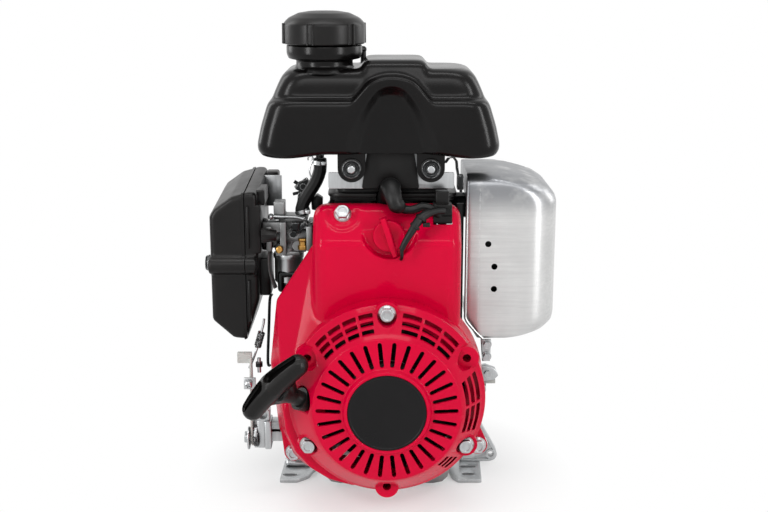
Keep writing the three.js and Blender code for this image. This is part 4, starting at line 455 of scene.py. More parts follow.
def soft_shading_group():
    """A modifier tree that shades smooth and keeps edges sharper than its angle."""
    tree = bpy.data.node_groups.new("smooth_by_angle", "GeometryNodeTree")
    tree.interface.new_socket("Geometry", in_out="INPUT", socket_type="NodeSocketGeometry")
    angle = tree.interface.new_socket("Angle", in_out="INPUT", socket_type="NodeSocketFloat")
    angle.default_value = math.radians(32)
    tree.interface.new_socket("Geometry", in_out="OUTPUT", socket_type="NodeSocketGeometry")
    given, out = tree.nodes.new("NodeGroupInput"), tree.nodes.new("NodeGroupOutput")
    plain = add(tree, "GeometryNodeRemoveAttribute")
    plain.inputs["Name"].default_value = "custom_normal"
    faces = add(tree, "GeometryNodeSetShadeSmooth", domain="FACE")
    faces.inputs["Shade Smooth"].default_value = True
    edges = add(tree, "GeometryNodeSetShadeSmooth", domain="EDGE")
    edge_angle = add(tree, "GeometryNodeInputMeshEdgeAngle")
    shallow = add(tree, "FunctionNodeCompare", data_type="FLOAT", operation="LESS_EQUAL")
    tree.links.new(given.outputs["Geometry"], plain.inputs["Geometry"])
    tree.links.new(plain.outputs["Geometry"], faces.inputs["Geometry"])
    tree.links.new(faces.outputs["Geometry"], edges.inputs["Geometry"])
    tree.links.new(edge_angle.outputs["Unsigned Angle"], shallow.inputs["A"])
    tree.links.new(given.outputs["Angle"], shallow.inputs["B"])
    tree.links.new(shallow.outputs["Result"], edges.inputs["Shade Smooth"])
    tree.links.new(edges.outputs["Geometry"], out.inputs["Geometry"])
    return tree


SMOOTH = soft_shading_group()


def soften(piece, radius=0.4, segments=2, weld=True, angle=32):
    """Rounds a piece's sharp edges and shades its curves smooth, without touching its mesh."""
    if weld:
        piece.modifiers.new("weld", "WELD").merge_threshold = 0.01 * MM
    if radius:
        bevel = piece.modifiers.new("rounded_edges", "BEVEL")
        bevel.width = radius * MM
        bevel.segments = segments
        bevel.limit_method = "ANGLE"
        bevel.angle_limit = math.radians(40)
        bevel.use_clamp_overlap = True
    smooth = piece.modifiers.new("smooth_by_angle", "NODES")
    smooth.node_group = SMOOTH
    for socket in SMOOTH.interface.items_tree:
        if socket.name == "Angle":
            smooth[socket.identifier] = math.radians(angle)
    return piece


# Imported nodes

# Nodes whose finish differs from their slot's. The flywheel's dark casting is painted shade, so that the
# starter cover's slots look dark; the cylinder head's dark casting is partly its black paint and partly
# painted shade round its fins.
SPECIAL_FINISHES = {
    "fuel_tank": "tank_plastic", "filler_neck": "tank_plastic", "head_cover": "black_plastic",
    "cylinder_head": "black_casting", "muffler": "dark_steel", "flywheel": "black_casting",
}


def dress_packed_nodes():
    """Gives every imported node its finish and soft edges."""
    slots = {row["node"]: row["material_slot"] for row in frame["record"]["subparts"]}
    for name, node in frame["nodes"].items():
        node.data.materials.clear()
        node.data.materials.append(MATERIALS[SPECIAL_FINISHES.get(name, slots[name])])
        soften(node)


dress_packed_nodes()


# Building meshes

def linked(name, mesh):
    piece = bpy.data.objects.new(name, mesh)
    bpy.context.scene.collection.objects.link(piece)
    return piece


def from_bmesh(name, bm):
    mesh = bpy.data.meshes.new(name)
    bm.normal_update()
    bm.to_mesh(mesh)
    bm.free()
    return linked(name, mesh)


def skin(name, rings, closed_ends=True):
    """A surface through rings of points, in millimetres."""
    bm = bmesh.new()
    rows = [[bm.verts.new(Vector(p) * MM) for p in ring] for ring in rings]
    count = len(rows[0])
    for low, high in zip(rows, rows[1:]):
        for i in range(count):
            j = (i + 1) % count
            bm.faces.new((low[i], low[j], high[j], high[i]))
    if closed_ends:
        bm.faces.new(rows[0][::-1])
        bm.faces.new(rows[-1])
    bmesh.ops.recalc_face_normals(bm, faces=bm.faces)
    return from_bmesh(name, bm)


def hull(name, points):
    """The smallest skin round points in millimetres."""
    bm = bmesh.new()
    for p in {tuple(round(c, 4) for c in p): None for p in points}:
        bm.verts.new(Vector(p) * MM)
    made = bmesh.ops.convex_hull(bm, input=bm.verts)
    loose = {v for v in made["geom_interior"] + made["geom_unused"] if isinstance(v, bmesh.types.BMVert)}
    bmesh.ops.delete(bm, geom=list(loose), context="VERTS")
    bmesh.ops.recalc_face_normals(bm, faces=bm.faces)
    return from_bmesh(name, bm)


def ball(centre, radius, steps=12):
    """Points on a ball, for hulls with round edges."""
    points = []
    for i in range(steps + 1):
        tilt = math.pi * i / steps - math.pi / 2
        for j in range(steps * 2):
            turn = math.pi * j / steps
            points.append(Vector(centre) + radius * Vector((
                math.cos(tilt) * math.cos(turn), math.cos(tilt) * math.sin(turn), math.sin(tilt),
            )))
    return points


def bar(name, start, end, radius, end_radius=None, segments=ROUND):
    """A round bar or cone between two points."""
    start, end = Vector(start), Vector(end)
    along = end - start
    turn = Z.rotation_difference(along.normalized())
    rings = []
    for place, size in ((start, radius), (end, radius if end_radius is None else end_radius)):
        rings.append([
            place + turn @ (size * Vector((math.cos(a), math.sin(a), 0)))
            for a in (2 * math.pi * i / segments for i in range(segments))
        ])
    return skin(name, rings)


def box_points(xs, ys, zs):
    """Every corner between the given values."""
    return [(x, y, z) for x in xs for y in ys for z in zs]


def carried(outline, ys):
    """An outline in X and Z, at each of the given values of Y."""
    return [(x, y, z) for x, z in outline for y in ys]


def block(name, low, high):
    return hull(name, box_points(*zip(low, high)))


def turned(name, profile, centre, axis, segments=ROUND):
    """A solid of revolution from a profile of radius and place along the axis."""
    turn = Z.rotation_difference(Vector(axis))
    bm = bmesh.new()
    rows = []
    for radius, place in profile:
        if radius < 1e-6:
            rows.append([bm.verts.new((Vector(centre) + turn @ Vector((0, 0, place))) * MM)])
            continue
        rows.append([
            bm.verts.new(
                (Vector(centre) + turn @ Vector((radius * math.cos(a), radius * math.sin(a), place))) * MM
            )
            for a in (2 * math.pi * i / segments for i in range(segments))
        ])
    pairs = list(zip(rows, rows[1:]))
    if len(rows[0]) > 1:
        pairs.append((rows[-1], rows[0]))
    for low, high in pairs:
        for i in range(segments):
            j = (i + 1) % segments
            corners = [low[i % len(low)], low[j % len(low)], high[j % len(high)], high[i % len(high)]]
            distinct = list(dict.fromkeys(corners))
            if len(distinct) > 2:
                bm.faces.new(distinct)
    bmesh.ops.recalc_face_normals(bm, faces=bm.faces)
    return from_bmesh(name, bm)


def rounded_profile(points, radius, steps=4):
    """An open outline whose inner corners become small arcs."""
    points = [Vector((*p, 0)) for p in points]
    smooth = [points[0]]
    for before, corner, after in zip(points, points[1:], points[2:]):
        back, ahead = before - corner, after - corner
        reach = min(radius, back.length / 2.1, ahead.length / 2.1)
        start, end = corner + back.normalized() * reach, corner + ahead.normalized() * reach
        for i in range(steps + 1):
            t = i / steps
            smooth.append((1 - t) ** 2 * start + 2 * t * (1 - t) * corner + t ** 2 * end)
    smooth.append(points[-1])
    return [(p.x, p.y) for p in smooth]


def rounded_outline(points, radius, steps=5):
    """A closed outline whose corners become arcs."""
    closed = rounded_profile([points[-1], *points, points[0]], radius, steps)
    return closed[1:-1]


def rounded_rectangle(left, right, bottom, top, radius, steps=5):
    return rounded_outline([(left, bottom), (right, bottom), (right, top), (left, top)], radius, steps)


def plate_y(name, outline, front, back):
    """A flat outline in X and Z, carried along Y."""
    return skin(name, [[(x, y, z) for x, z in outline] for y in (front, back)])


def plate_z(name, outline, bottom, top):
    return skin(name, [[(x, y, z) for x, y in outline] for z in (bottom, top)])


def applied(piece, tools=()):
    """The piece with its modifiers made real, and its tools removed."""
    bpy.context.view_layer.update()
    shape = piece.evaluated_get(bpy.context.evaluated_depsgraph_get())
    mesh = bpy.data.meshes.new_from_object(shape)
    piece.modifiers.clear()
    old, piece.data = piece.data, mesh
    mesh.name = piece.name
    bpy.data.meshes.remove(old)
    for tool in tools:
        bpy.data.meshes.remove(tool.data)
    return piece


def combined(piece, operation, tools):
    for tool in tools:
        change = piece.modifiers.new("change", "BOOLEAN")
        change.operation = operation
        change.solver = "MANIFOLD"
        change.object = tool
    return applied(piece, tools)


def carved(piece, *tools):
    return combined(piece, "DIFFERENCE", tools)


def fused(piece, *others):
    return combined(piece, "UNION", others)


def moulded(piece, cell=1.6, rounds=6):
    """Softens every edge of a solid as a mould does, by remeshing it and relaxing the surface."""
    remesh = piece.modifiers.new("even_skin", "REMESH")
    remesh.mode = "VOXEL"
    remesh.voxel_size = cell * MM
    relax = piece.modifiers.new("relaxed", "SMOOTH")
    relax.factor = 0.5
    relax.iterations = rounds
    return applied(piece)


def placed(piece, body, slot, replaces=(), material=None, radius=0.0, segments=2, soft=False):
    """Gives a finished piece its material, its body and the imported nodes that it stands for."""
    piece.data.materials.clear()
    piece.data.materials.append(MATERIALS[material or slot])
    soften(piece, radius, segments, angle=60 if soft else 32)
    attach(piece, body)
    if replaces:
        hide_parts(*replaces)
    return piece


def round_about(radius, degrees, y=0.0):
    """A point on a circle round the crank axis, seen from the starter."""
    angle = math.radians(degrees)
    return Vector((CRANK.x + radius * math.cos(angle), y, CRANK.z + radius * math.sin(angle)))


def inset_outline(points, distance):
    """A convex outline, drawn anticlockwise, with every side moved inwards."""
    moved = []
    for before, corner, after in zip([points[-1], *points], points, [*points[1:], points[0]]):
        into, away = Vector(corner) - Vector(before), Vector(after) - Vector(corner)
        first, second = (Vector((-side.y, side.x)).normalized() for side in (into, away))
        middle = (first + second).normalized()
        moved.append(Vector(corner) + middle * distance / middle.dot(first))
    return moved


def smooth_route(points, per=8):
    """Points on a smooth curve through the given ones."""
    points = [Vector(p) for p in points]
    padded = [2 * points[0] - points[1], *points, 2 * points[-1] - points[-2]]
    route = []
    for a, b, c, d in zip(padded, padded[1:], padded[2:], padded[3:]):
        for step in range(per):
            t = step / per
            route.append(0.5 * (
                2 * b + (c - a) * t + (2 * a - 5 * b + 4 * c - d) * t ** 2 + (3 * b - a - 3 * c + d) * t ** 3
            ))
    route.append(points[-1])
    return route


def swept(name, points, radius, sides=20, per=8, flat=1.0):
    """A tube along a smooth route; the radius is one number, or one for each given point."""
    route = smooth_route(points, per)
    radii = [radius] * len(points) if isinstance(radius, (int, float)) else list(radius)
    rings = []
    across = None
    for i, place in enumerate(route):
        along = (route[min(i + 1, len(route) - 1)] - route[max(i - 1, 0)]).normalized()
        if across is None:
            across = along.orthogonal().normalized()
        across = (across - along * across.dot(along)).normalized()
        other = along.cross(across)
        share = i / per
        low = min(int(share), len(radii) - 2)
        size = radii[low] + (radii[low + 1] - radii[low]) * (share - low)
        rings.append([
            place + size * (math.cos(a) * across + flat * math.sin(a) * other)
            for a in (2 * math.pi * k / sides for k in range(sides))
        ])
    return skin(name, rings)


def coil_spring(name, start, end, radius, wire, turns):
    """A closed wound spring between two points."""
    start, end = Vector(start), Vector(end)
    along = (end - start).normalized()
    across = along.orthogonal().normalized()
    other = along.cross(across)
    count = turns * 10
    points = []
    for i in range(count + 1):
        angle = 2 * math.pi * turns * i / count
        points.append(
            start.lerp(end, i / count) + radius * (math.cos(angle) * across + math.sin(angle) * other)
        )
    return swept(name, points, wire, 6, 1)


def ball_chain(name, places, steps=8):
    """Balls of their own sizes joined one to the next: a limb with round edges."""
    links = [
        hull(name, ball(a, ra, steps) + ball(b, rb, steps)) for (a, ra), (b, rb) in zip(places, places[1:])
    ]
    return fused(links[0], *links[1:]) if len(links) > 1 else links[0]


def rounded_solid(name, corners, radius, steps=6):
    """A convex block whose corners and edges are rounded by balls."""
    return hull(name, [p for corner in corners for p in ball(corner, radius, steps)])


def rounded_box(name, xs, ys, zs, radius, steps=4):
    return rounded_solid(name, box_points(xs, ys, zs), radius, steps)


# Rope starter

COVER = {
    "back": -98.3, "rim": 77.5, "rim_front": -102.5, "shoulder": 74.5, "shoulder_y": -105.5, "edge": 60.0,
    "edge_y": -125.5, "face": 57.2, "face_y": -128.8, "inner": 34.5, "inner_y": -131.4, "ring": 32.6,
    "front": -135.0, "recess": 30.3, "recess_y": -133.2, "wall": 2.0,
}
SLOTS = {"count": 30, "inner": 35.5, "outer": 54.8, "width": 3.3}
BOSSES = {
    "circle": 71.4, "radius": 9.4, "wall": 1.6, "front": -109.0, "hole": 3.3,
    "at": (30, 90, 150, 210, 270, 330),
}
VENTS = {"inner": 60.6, "width": 3.0, "pitch": 4.6, "rows": 3, "rib": 2.2}
VENT_SPANS = ((98, 141, 4), (39, 81, 3), (-20, 21, 2), (-51, -39, 1))
ROUNDING = 0.8


def slot_tools():
    """Radial slots with round ends, cut through the cover's face."""
    tools = []
    half = SLOTS["width"] / 2
    for i in range(SLOTS["count"]):
        angle = 2 * math.pi * i / SLOTS["count"]
        outline = []
        for end, start_angle in ((SLOTS["outer"] - half, -90), (SLOTS["inner"] + half, 90)):
            for step in range(9):
                a = math.radians(start_angle + 180 * step / 8)
                outline.append((end + half * math.cos(a), half * math.sin(a)))
        turned_outline = [
            (
                CRANK.x + r * math.cos(angle) - t * math.sin(angle),
                CRANK.z + r * math.sin(angle) + t * math.cos(angle),
            )
            for r, t in outline
        ]
        tools.append(plate_y("slot", turned_outline, COVER["front"] - 4, COVER["edge_y"] + 4))
    return tools


def vent_tools():
    """Curved windows in the sloping shoulder, in rows that share their ribs."""
    tools = []
    for low, high, count in VENT_SPANS:
        window = (high - low) / count
        for row in range(VENTS["rows"]):
            inner = VENTS["inner"] + row * VENTS["pitch"]
            middle = inner + VENTS["width"] / 2
            margin = math.degrees(VENTS["rib"] / 2 / middle)
            for i in range(count):
                start, end = low + i * window + margin, low + (i + 1) * window - margin
                steps = 8
                far = [
                    round_about(inner + VENTS["width"], start + (end - start) * s / steps)
                    for s in range(steps + 1)
                ]
                near = [round_about(inner, end - (end - start) * s / steps) for s in range(steps + 1)]
                outline = rounded_outline([(p.x, p.z) for p in far + near], 0.7, 3)
                tools.append(plate_y("window", outline, COVER["front"], COVER["rim_front"] + 1.5))
    return tools


def cover_slope():
    """Everything inside the cover's sloping outer skin."""
    c = COVER
    return turned("slope", [
        (0, c["back"]), (c["rim"], c["back"]), (c["rim"], c["rim_front"]), (c["shoulder"], c["shoulder_y"]),
        (c["edge"], c["edge_y"]), (0, c["edge_y"]),
    ], (CRANK.x, 0, CRANK.z), Y)


def recoil_cover():
    c, w = COVER, COVER["wall"]
    outside = [
        (c["rim"], c["back"]), (c["rim"], c["rim_front"]), (c["shoulder"], c["shoulder_y"]),
        (c["edge"], c["edge_y"]),
        (c["face"], c["face_y"]), (c["inner"], c["inner_y"]), (c["ring"], c["front"]),
        (c["recess"], c["front"]),
        (c["recess"], c["recess_y"]), (0, c["recess_y"]),
    ]
    inside = [
        (0, c["recess_y"] + w), (c["inner"], c["inner_y"] + w), (c["face"] - w / 2, c["face_y"] + w),
        (c["shoulder"] - w, c["shoulder_y"] + w / 2), (c["rim"] - w, c["back"]),
    ]
    cover = turned(
        "recoil_cover_shell", rounded_profile(outside, ROUNDING) + inside, (CRANK.x, 0, CRANK.z), Y,
        FINE,
    )
    carved(cover, *slot_tools(), *vent_tools())
    bosses, holes = [], []
    for degrees in BOSSES["at"]:
        at = [
            round_about(BOSSES["circle"], degrees, y)
            for y in (c["edge_y"], BOSSES["front"], c["front"], c["back"])
        ]
        pillar = bar("pillar", at[0], at[3], BOSSES["radius"])
        combined(pillar, "INTERSECT", [cover_slope()])
        bosses.append(fused(pillar, bar("collar", at[1], at[3], BOSSES["radius"])))
        holes.append(bar("well", at[2], at[1], BOSSES["radius"] - BOSSES["wall"]))
        holes.append(bar("hole", at[2], at[3] + 4 * Y, BOSSES["hole"], segments=SMALL))
    start = rope_point(-GUIDE["depth"])
    eyelet = bar("eyelet", start, rope_point(GUIDE["rise"]), GUIDE["radius"], GUIDE["radius"] - 1.5)
    fused(cover, *bosses, eyelet)
    return carved(
        cover, *holes,
        bar("bore", start - 8 * PULL, rope_point(GUIDE["rise"] + 4), GUIDE["bore"], segments=SMALL),
        bar("collar_room", rope_point(GUIDE["rise"]), rope_point(GRIP["reach"]), GRIP["collar"] + 1.5),
    )


# The rope leaves the cover through an eyelet and ends in the grip
GUIDE = {"place": Vector((-54, -113, 104)), "radius": 9.0, "rise": 5.0, "depth": 7.0, "bore": 3.6}
PULL = Vector((-0.682, -0.495, 0.54)).normalized()
ACROSS = Vector((0.674, -0.137, 0.726)).normalized()
GRIP = {
    "reach": 42.4, "half": 26.0, "radius": 10.4, "end": 8.6, "bend": 3.0, "collar": 9.0, "collar_length": 8.0,
    "neck": 6.2, "pocket": 5.4, "rib": 2.2,
}


def rope_point(distance):
    return GUIDE["place"] + distance * PULL


def grip_place(along, out=0.0):
    """A place in the grip, whose two ends bend back towards the cover."""
    bend = GRIP["bend"] * (along / GRIP["half"]) ** 2
    return rope_point(GRIP["reach"] + out - bend) + along * ACROSS


def grip_limb(shrink, out, low, high, steps=6):
    """Part of the grip's long body, between two places along it."""
    g = GRIP
    chain = []
    for i in range(steps + 1):
        along = low + (high - low) * i / steps
        share = abs(along) / g["half"]
        chain.append((grip_place(along, out), g["radius"] + (g["end"] - g["radius"]) * share - shrink))
    return ball_chain("limb", chain)


def starter_grip():
    """The pull grip: a bowed bar on a waisted neck, hollowed from its far side on both sides of a rib."""
    g = GRIP
    collar_front = GUIDE["rise"] + 1.2
    collar_back = collar_front + g["collar_length"]
    grip = grip_limb(0, 0, -g["half"], g["half"])
    grip.name = "starter_grip"
    neck = [
        (collar_back - 1.5, g["neck"] + 0.6), (20, g["neck"]), (27, g["neck"] + 1.4),
        (34, g["radius"] - 0.6),
    ]
    fused(grip, swept("neck", [rope_point(place) for place, size in neck], [size for place, size in neck]))
    web = ball(rope_point(22), g["neck"] - 1, 8)
    for side in (-1, 1):
        web += ball(grip_place(side * 13, -3), g["neck"] - 0.4, 8)
    fused(grip, hull("web", web))
    moulded(grip, 0.7, 7)
    pockets = []
    for side in (-1, 1):
        low, high = sorted((side * (g["rib"] + g["pocket"] - 1.6), side * (g["half"] + 1.6)))
        inner = grip_limb(g["radius"] - g["pocket"], 3.4, low, high)
        outer = grip_limb(g["radius"] - g["pocket"] - 0.6, 12.0, low, high)
        pockets.append(fused(inner, outer))
        pockets.append(grip_limb(g["radius"] - g["pocket"] - 0.3, 7.6, low, high))
    carved(grip, *pockets)
    fused(
        grip,
        bar("collar", rope_point(collar_front), rope_point(collar_back), g["collar"] - 1.5, g["collar"]),
    )
    return carved(grip, bar("bore", rope_point(collar_front - 4), rope_point(24.3), 2.5, segments=SMALL))


def badge_disc():
    floor = COVER["recess_y"] - 0.3
    profile = rounded_profile(
        [
            (0, floor), (30, floor), (30, floor - 1.5), (28.6, floor - 1.5), (28.2, floor - 1.2),
            (0, floor - 1.2),
        ],
        0.4,
    )
    return turned("badge_disc", profile, (CRANK.x, 0, CRANK.z), Y, FINE)


# Fan housing

HOUSING = {
    "left": -55.0, "right": 63.2, "top": 251.0, "bend": 226.0, "front": -78.0, "top_front": -60.0,
    "back": -48.0, "low": 118.0, "wall": 1.8, "round": 11.0, "drum": 76.0, "drum_front": -98.0, "mouth": 62.0,
    "skirt": -40.0,
}
SCROLL = {"front": 74.0, "right": 79.0, "chamfer": 3.0, "rim_front": -93.0}
SCROLL_LEFT = ((-54, 220), (-86, 171), (-92, 118), (-86, 60), (-76, 37))
# The scroll's front rim runs out from the fan: degrees round the crank, and the radius there
SCROLL_RIM = ((190, 84), (202, 86.5), (214, 88), (226, 87.5), (238, 86), (250, 83), (262, 79.5), (274, 77))
POCKET = {"x": 6.0, "z": 234.5, "radius": 22.0, "depth": 6.0}
TOP_BOLT = (-31.0, 245.5)
BOLT_DISH = {"outer": 14.5, "pad": 8.6, "depth": 1.3}
LEFT_BOLT, RIGHT_BOLT = (-73.0, -66.0, 45.0), (78.0, -80.0, 57.0)
EAR = {"radius": 7.8, "thickness": 3.0}
BOLT = {"flange": 7.0, "flange_height": 1.8, "across": 10.0, "height": 5.5, "shank": 3.0, "length": 11.0}
PLUG_TIP, PLUG_AXIS = Vector((7.2, -62, 266.5)), Vector((0.08, -0.88, 0.47)).normalized()


def housing_tower(inset):
    """The tall part over the cylinder, whose front leans back above a bend."""
    h, r = HOUSING, HOUSING["round"]
    deep = h["back"] + 8 + r
    side = [
        (h["front"], h["low"] - r), (deep, h["low"] - r), (deep, h["top"]), (h["top_front"], h["top"]),
        (h["front"], h["bend"]),
    ]
    points = []
    for y, z in inset_outline(side, r):
        for x in (h["left"] + r, h["right"] - r):
            points += ball((x, y, z), r - inset, 8)
    return hull("tower", points)


def housing_scroll(inset):
    """The scroll round the fan: a round front and a wider back that runs out to the left."""
    h = HOUSING
    left = []
    for x, z in SCROLL_LEFT:
        p = Vector((x, 0, z))
        inward = (Vector((CRANK.x, 0, CRANK.z)) - p).normalized()
        left.append(p + inset * inward)
    points = []
    for radius, y in (
        (SCROLL["front"], h["front"] + inset),
        (SCROLL["front"] + SCROLL["chamfer"], h["front"] + SCROLL["chamfer"] + inset),
        (SCROLL["right"], h["skirt"] - 12), (SCROLL["right"], h["skirt"] + 8),
    ):
        points += [round_about(radius - inset, 360 * i / ROUND, y) for i in range(ROUND)]
    for y in (h["skirt"] - 12, h["skirt"] + 8):
        points += [Vector((p.x, y, p.z)) for p in left]
    for y in (SCROLL["rim_front"] + inset, h["skirt"] - 12):
        points += [round_about(radius - inset, degrees, y) for degrees, radius in SCROLL_RIM]
    return hull("scroll", points)


def switch_pocket(margin):
    """The round hollow in the housing's front that the switch knob sits in."""
    p = POCKET
    outside, floor = HOUSING["front"] - 12, HOUSING["front"] + p["depth"]
    return bar("pocket", (p["x"], outside, p["z"]), (p["x"], floor + margin, p["z"]), p["radius"] + margin)


def bolt_dish():
    """A shallow ring pressed into the leaning face round the top bolt."""
    seat, out = top_bolt_seat(), bolt_lean()
    d = BOLT_DISH
    ring = bar("dish", seat - d["depth"] * out, seat + 12 * out, d["outer"], d["outer"] + 5)
    return carved(ring, bar("pad", seat - 8 * out, seat + 14 * out, d["pad"]))


def drum(inset):
    h = HOUSING
    return bar(
        "drum", round_about(0, 0, h["drum_front"] + inset),
        round_about(0, 0, h["front"] + (8 if inset else 3)),
        h["drum"] - inset, segments=FINE,
    )


def bolt_lean():
    """The direction in which the top bolt stands out of the leaning face."""
    h = HOUSING
    return Vector((0, h["bend"] - h["top"], h["top_front"] - h["front"])).normalized()


def top_bolt_seat():
    h = HOUSING
    share = (TOP_BOLT[1] - h["bend"]) / (h["top"] - h["bend"])
    return Vector((TOP_BOLT[0], h["front"] + (h["top_front"] - h["front"]) * share, TOP_BOLT[1]))


def ear_plate(bolt):
    """An ear of the housing: a disc that hugs its bolt, joined to the scroll above it by a web."""
    x, y, z = bolt
    webs = ((x - 8, z + 18), (x - 12, z + 8)) if x > CRANK.x else ((x - 3, z + 26), (x + 10, z + 20))
    points = []
    for ear_x, ear_z in ((x, z), *webs):
        for i in range(48):
            a = 2 * math.pi * i / 48
            for depth in (0, EAR["thickness"]):
                points.append(
                    (ear_x + EAR["radius"] * math.cos(a), y + depth, ear_z + EAR["radius"] * math.sin(a))
                )
    return hull("ear", points)


def fan_housing():
    h = HOUSING
    outer = fused(housing_tower(0), housing_scroll(0))
    outer.name = "fan_housing"
    carved(outer, switch_pocket(0), bolt_dish())
    moulded(outer, 1.3, 6)
    fused(outer, drum(0))
    inner = carved(housing_tower(h["wall"]), switch_pocket(h["wall"] + 0.6), bar(
        "dish_room", top_bolt_seat() - 4.4 * bolt_lean(), top_bolt_seat() + 12 * bolt_lean(), 21,
    ))
    ears = [
        carved(ear_plate(bolt), duplicate(inner), housing_scroll(h["wall"]))
        for bolt in (LEFT_BOLT, RIGHT_BOLT)
    ]
    far = 200
    carved(
        outer, inner, housing_scroll(h["wall"]), drum(h["wall"]),
        block("behind_top", (-far, h["back"], CRANK.z), (far, far, h["top"] + 4)),
        block("behind", (-far, h["skirt"], -4), (far, far, h["top"] + 4)),
        bar("mouth", round_about(0, 0, h["drum_front"] - 4), round_about(0, 0, h["front"]), h["mouth"]),
    )
    fused(outer, *ears)
    holes = [
        bar("hole", (x, y - 4, z), (x, y + 15, z), BOLT["shank"] + 0.3, segments=SMALL)
        for x, y, z in (LEFT_BOLT, RIGHT_BOLT)
    ]
    holes.append(
        bar(
            "hole", top_bolt_seat() + 4 * bolt_lean(), top_bolt_seat() - 11 * bolt_lean(), 3.3,
            segments=SMALL,
        )
    )
    holes.append(bar("plug_well", PLUG_TIP - 60 * PLUG_AXIS, PLUG_TIP + 4 * PLUG_AXIS, 10.1))
    holes.append(block("lead_gap", (40.4, -71, 237.8), (55.6, -47, 263)))
    holes.append(
        bar("knob_hole", (KNOB["x"], -76, KNOB["z"]), (KNOB["x"], -64, KNOB["z"]), 3.3, segments=SMALL)
    )
    return carved(outer, *holes)


def duplicate(piece):
    copy = piece.copy()
    copy.data = piece.data.copy()
    bpy.context.scene.collection.objects.link(copy)
    return copy


KNOB = {
    "x": 5.5, "z": 230.0, "face": -72.3, "radius": 13.0, "height": 5.0, "bar": 6.0, "length": 32.0,
    "bar_height": 6.0, "tilt": 18.0, "stem": 3.0,
}


def switch_knob():
    """The red switch knob: a low round with a raised bar that tapers towards its lower end."""
    k = KNOB
    front = k["face"] - k["height"]
    disc = turned("switch_knob_round", rounded_profile([
        (0, k["face"]), (k["radius"], k["face"]), (k["radius"] - 0.8, front), (0, front),
    ], 1.0), (k["x"], 0, k["z"]), Y, 72)
    tilt = math.radians(k["tilt"])
    along = Vector((-math.sin(tilt), 0, math.cos(tilt)))
    across = Vector((along.z, 0, -along.x))
    middle = Vector((k["x"], 0, k["z"]))
    points = []
    for place, half in (
        (-k["length"] / 2, 2.4), (-8, k["bar"] / 2), (8, k["bar"] / 2), (k["length"] / 2, 2.7),
    ):
        for side in (-1, 1):
            for y, narrow in ((front + 1.5, 0), (front - k["bar_height"] + 0.6, 0.8)):
                centre = middle + place * along + side * (half - narrow - 0.6) * across
                end = 0.0 if abs(place) == 8 else 0.6 * (-1 if place > 0 else 1)
                points += ball(centre + end * along + y * Y, 0.6, 4)
    knob = fused(disc, hull("bar", points))
    stem = bar(
        "stem", (k["x"], front + 1, k["z"]), (k["x"], k["face"] + 5, k["z"]), k["stem"], segments=SMALL,
    )
    return fused(knob, stem)


# Bolts

def flange_bolt(name, seat, outward):
    """A plated flange bolt: domed flange, chamfered hexagon and a shallow dish in its head."""
    b = BOLT
    seat, outward = Vector(seat), Vector(outward).normalized()
    at = lambda distance: seat + distance * outward
    radius = b["across"] / math.sqrt(3)
    head = bar(name, at(0.3), at(0.3 + b["height"]), radius, segments=6)
    cone = bar("chamfer", at(0.3), at(0.3 + b["height"]), radius + 4, radius - 0.9, segments=ROUND)
    combined(head, "INTERSECT", [cone])
    carved(head, bar("dish", at(b["height"] - 0.4), at(b["height"] + 2), 3.0, 4.2, segments=SMALL))
    flange = bar("flange", at(0.3), at(0.3 + b["flange_height"]), b["flange"], b["flange"] - 1.5)
    shank = bar("shank", at(-b["length"]), at(b["flange_height"]), b["shank"], segments=SMALL)
    return fused(head, flange, shank)


def cover_bolts():
    """The three bolts of the starter cover and the three of the fan housing."""
    seats = {
        "recoil_bolt_top": (round_about(BOSSES["circle"], 90, BOSSES["front"]), -Y),
        "recoil_bolt_left": (round_about(BOSSES["circle"], 210, BOSSES["front"]), -Y),
        "recoil_bolt_right": (round_about(BOSSES["circle"], 330, BOSSES["front"]), -Y),
        "fan_bolt_top": (top_bolt_seat(), bolt_lean()),
        "fan_bolt_left": (LEFT_BOLT, -Y),
        "fan_bolt_right": (RIGHT_BOLT, -Y),
    }
    for node, (seat, outward) in seats.items():
        placed(flange_bolt(node + "_head", seat, outward), "engine", "zinc_steel", [node], radius=0.25)


# Fuel tank

TANK = {
    "left": -98.6, "right": 93.4, "front": -68.0, "back": 42.0, "bottom": 292.0,
    "ridge": (-15.0, 35.0, 365.0),
    "corner": 19.0, "bell_back": -57.6,
}
BELL = {"left": -26.5, "right": 41.5, "top": 345.0}
BELL_SHARES = ((1, 0), (0.96, 0.16), (0.83, 0.43), (0.62, 0.72), (0.34, 0.94), (0.1, 1))
ARCH = {"left": -29.0, "right": 45.0, "foot": 327.0, "top": 353.0, "front": -66.5}
ARCH_SHARES = ((1, 0.05), (0.86, 0.22), (0.68, 0.52), (0.48, 0.86), (0.2, 1))
FILLER = {
    "radius": 22.0, "bore": 18.0, "top": 388.0, "collar": 30.0, "collar_bottom": 365.0,
    "collar_top": 375.5,
}
TANK_EARS = (-24.0, 38.8)
EAR_PLATE = {"z": 280.3, "radius": 11.0, "front": -56.0, "back": -47.0, "hole": 6.3}


def tank_tier(name, levels, corner):
    """A tier of the tank: for each level, how far in its sides, front and back stand, and its height."""
    t = TANK
    rings = []
    for side, front, back, z in levels:
        outline = rounded_rectangle(
            t["left"] + side, t["right"] - side, t["front"] + front, t["back"] - back, corner, 6,
        )
        rings.append([(x, y, z) for x, y in outline])
    return skin(name, rings)


def mirrored_outline(shares, left, right, bottom, height):
    """Shares of half a width and of a height, mirrored about the middle between two sides."""
    middle, half = (left + right) / 2, (right - left) / 2
    side = [(middle + half * x, bottom + height * z) for x, z in shares]
    return side + [(2 * middle - x, z) for x, z in reversed(side)]


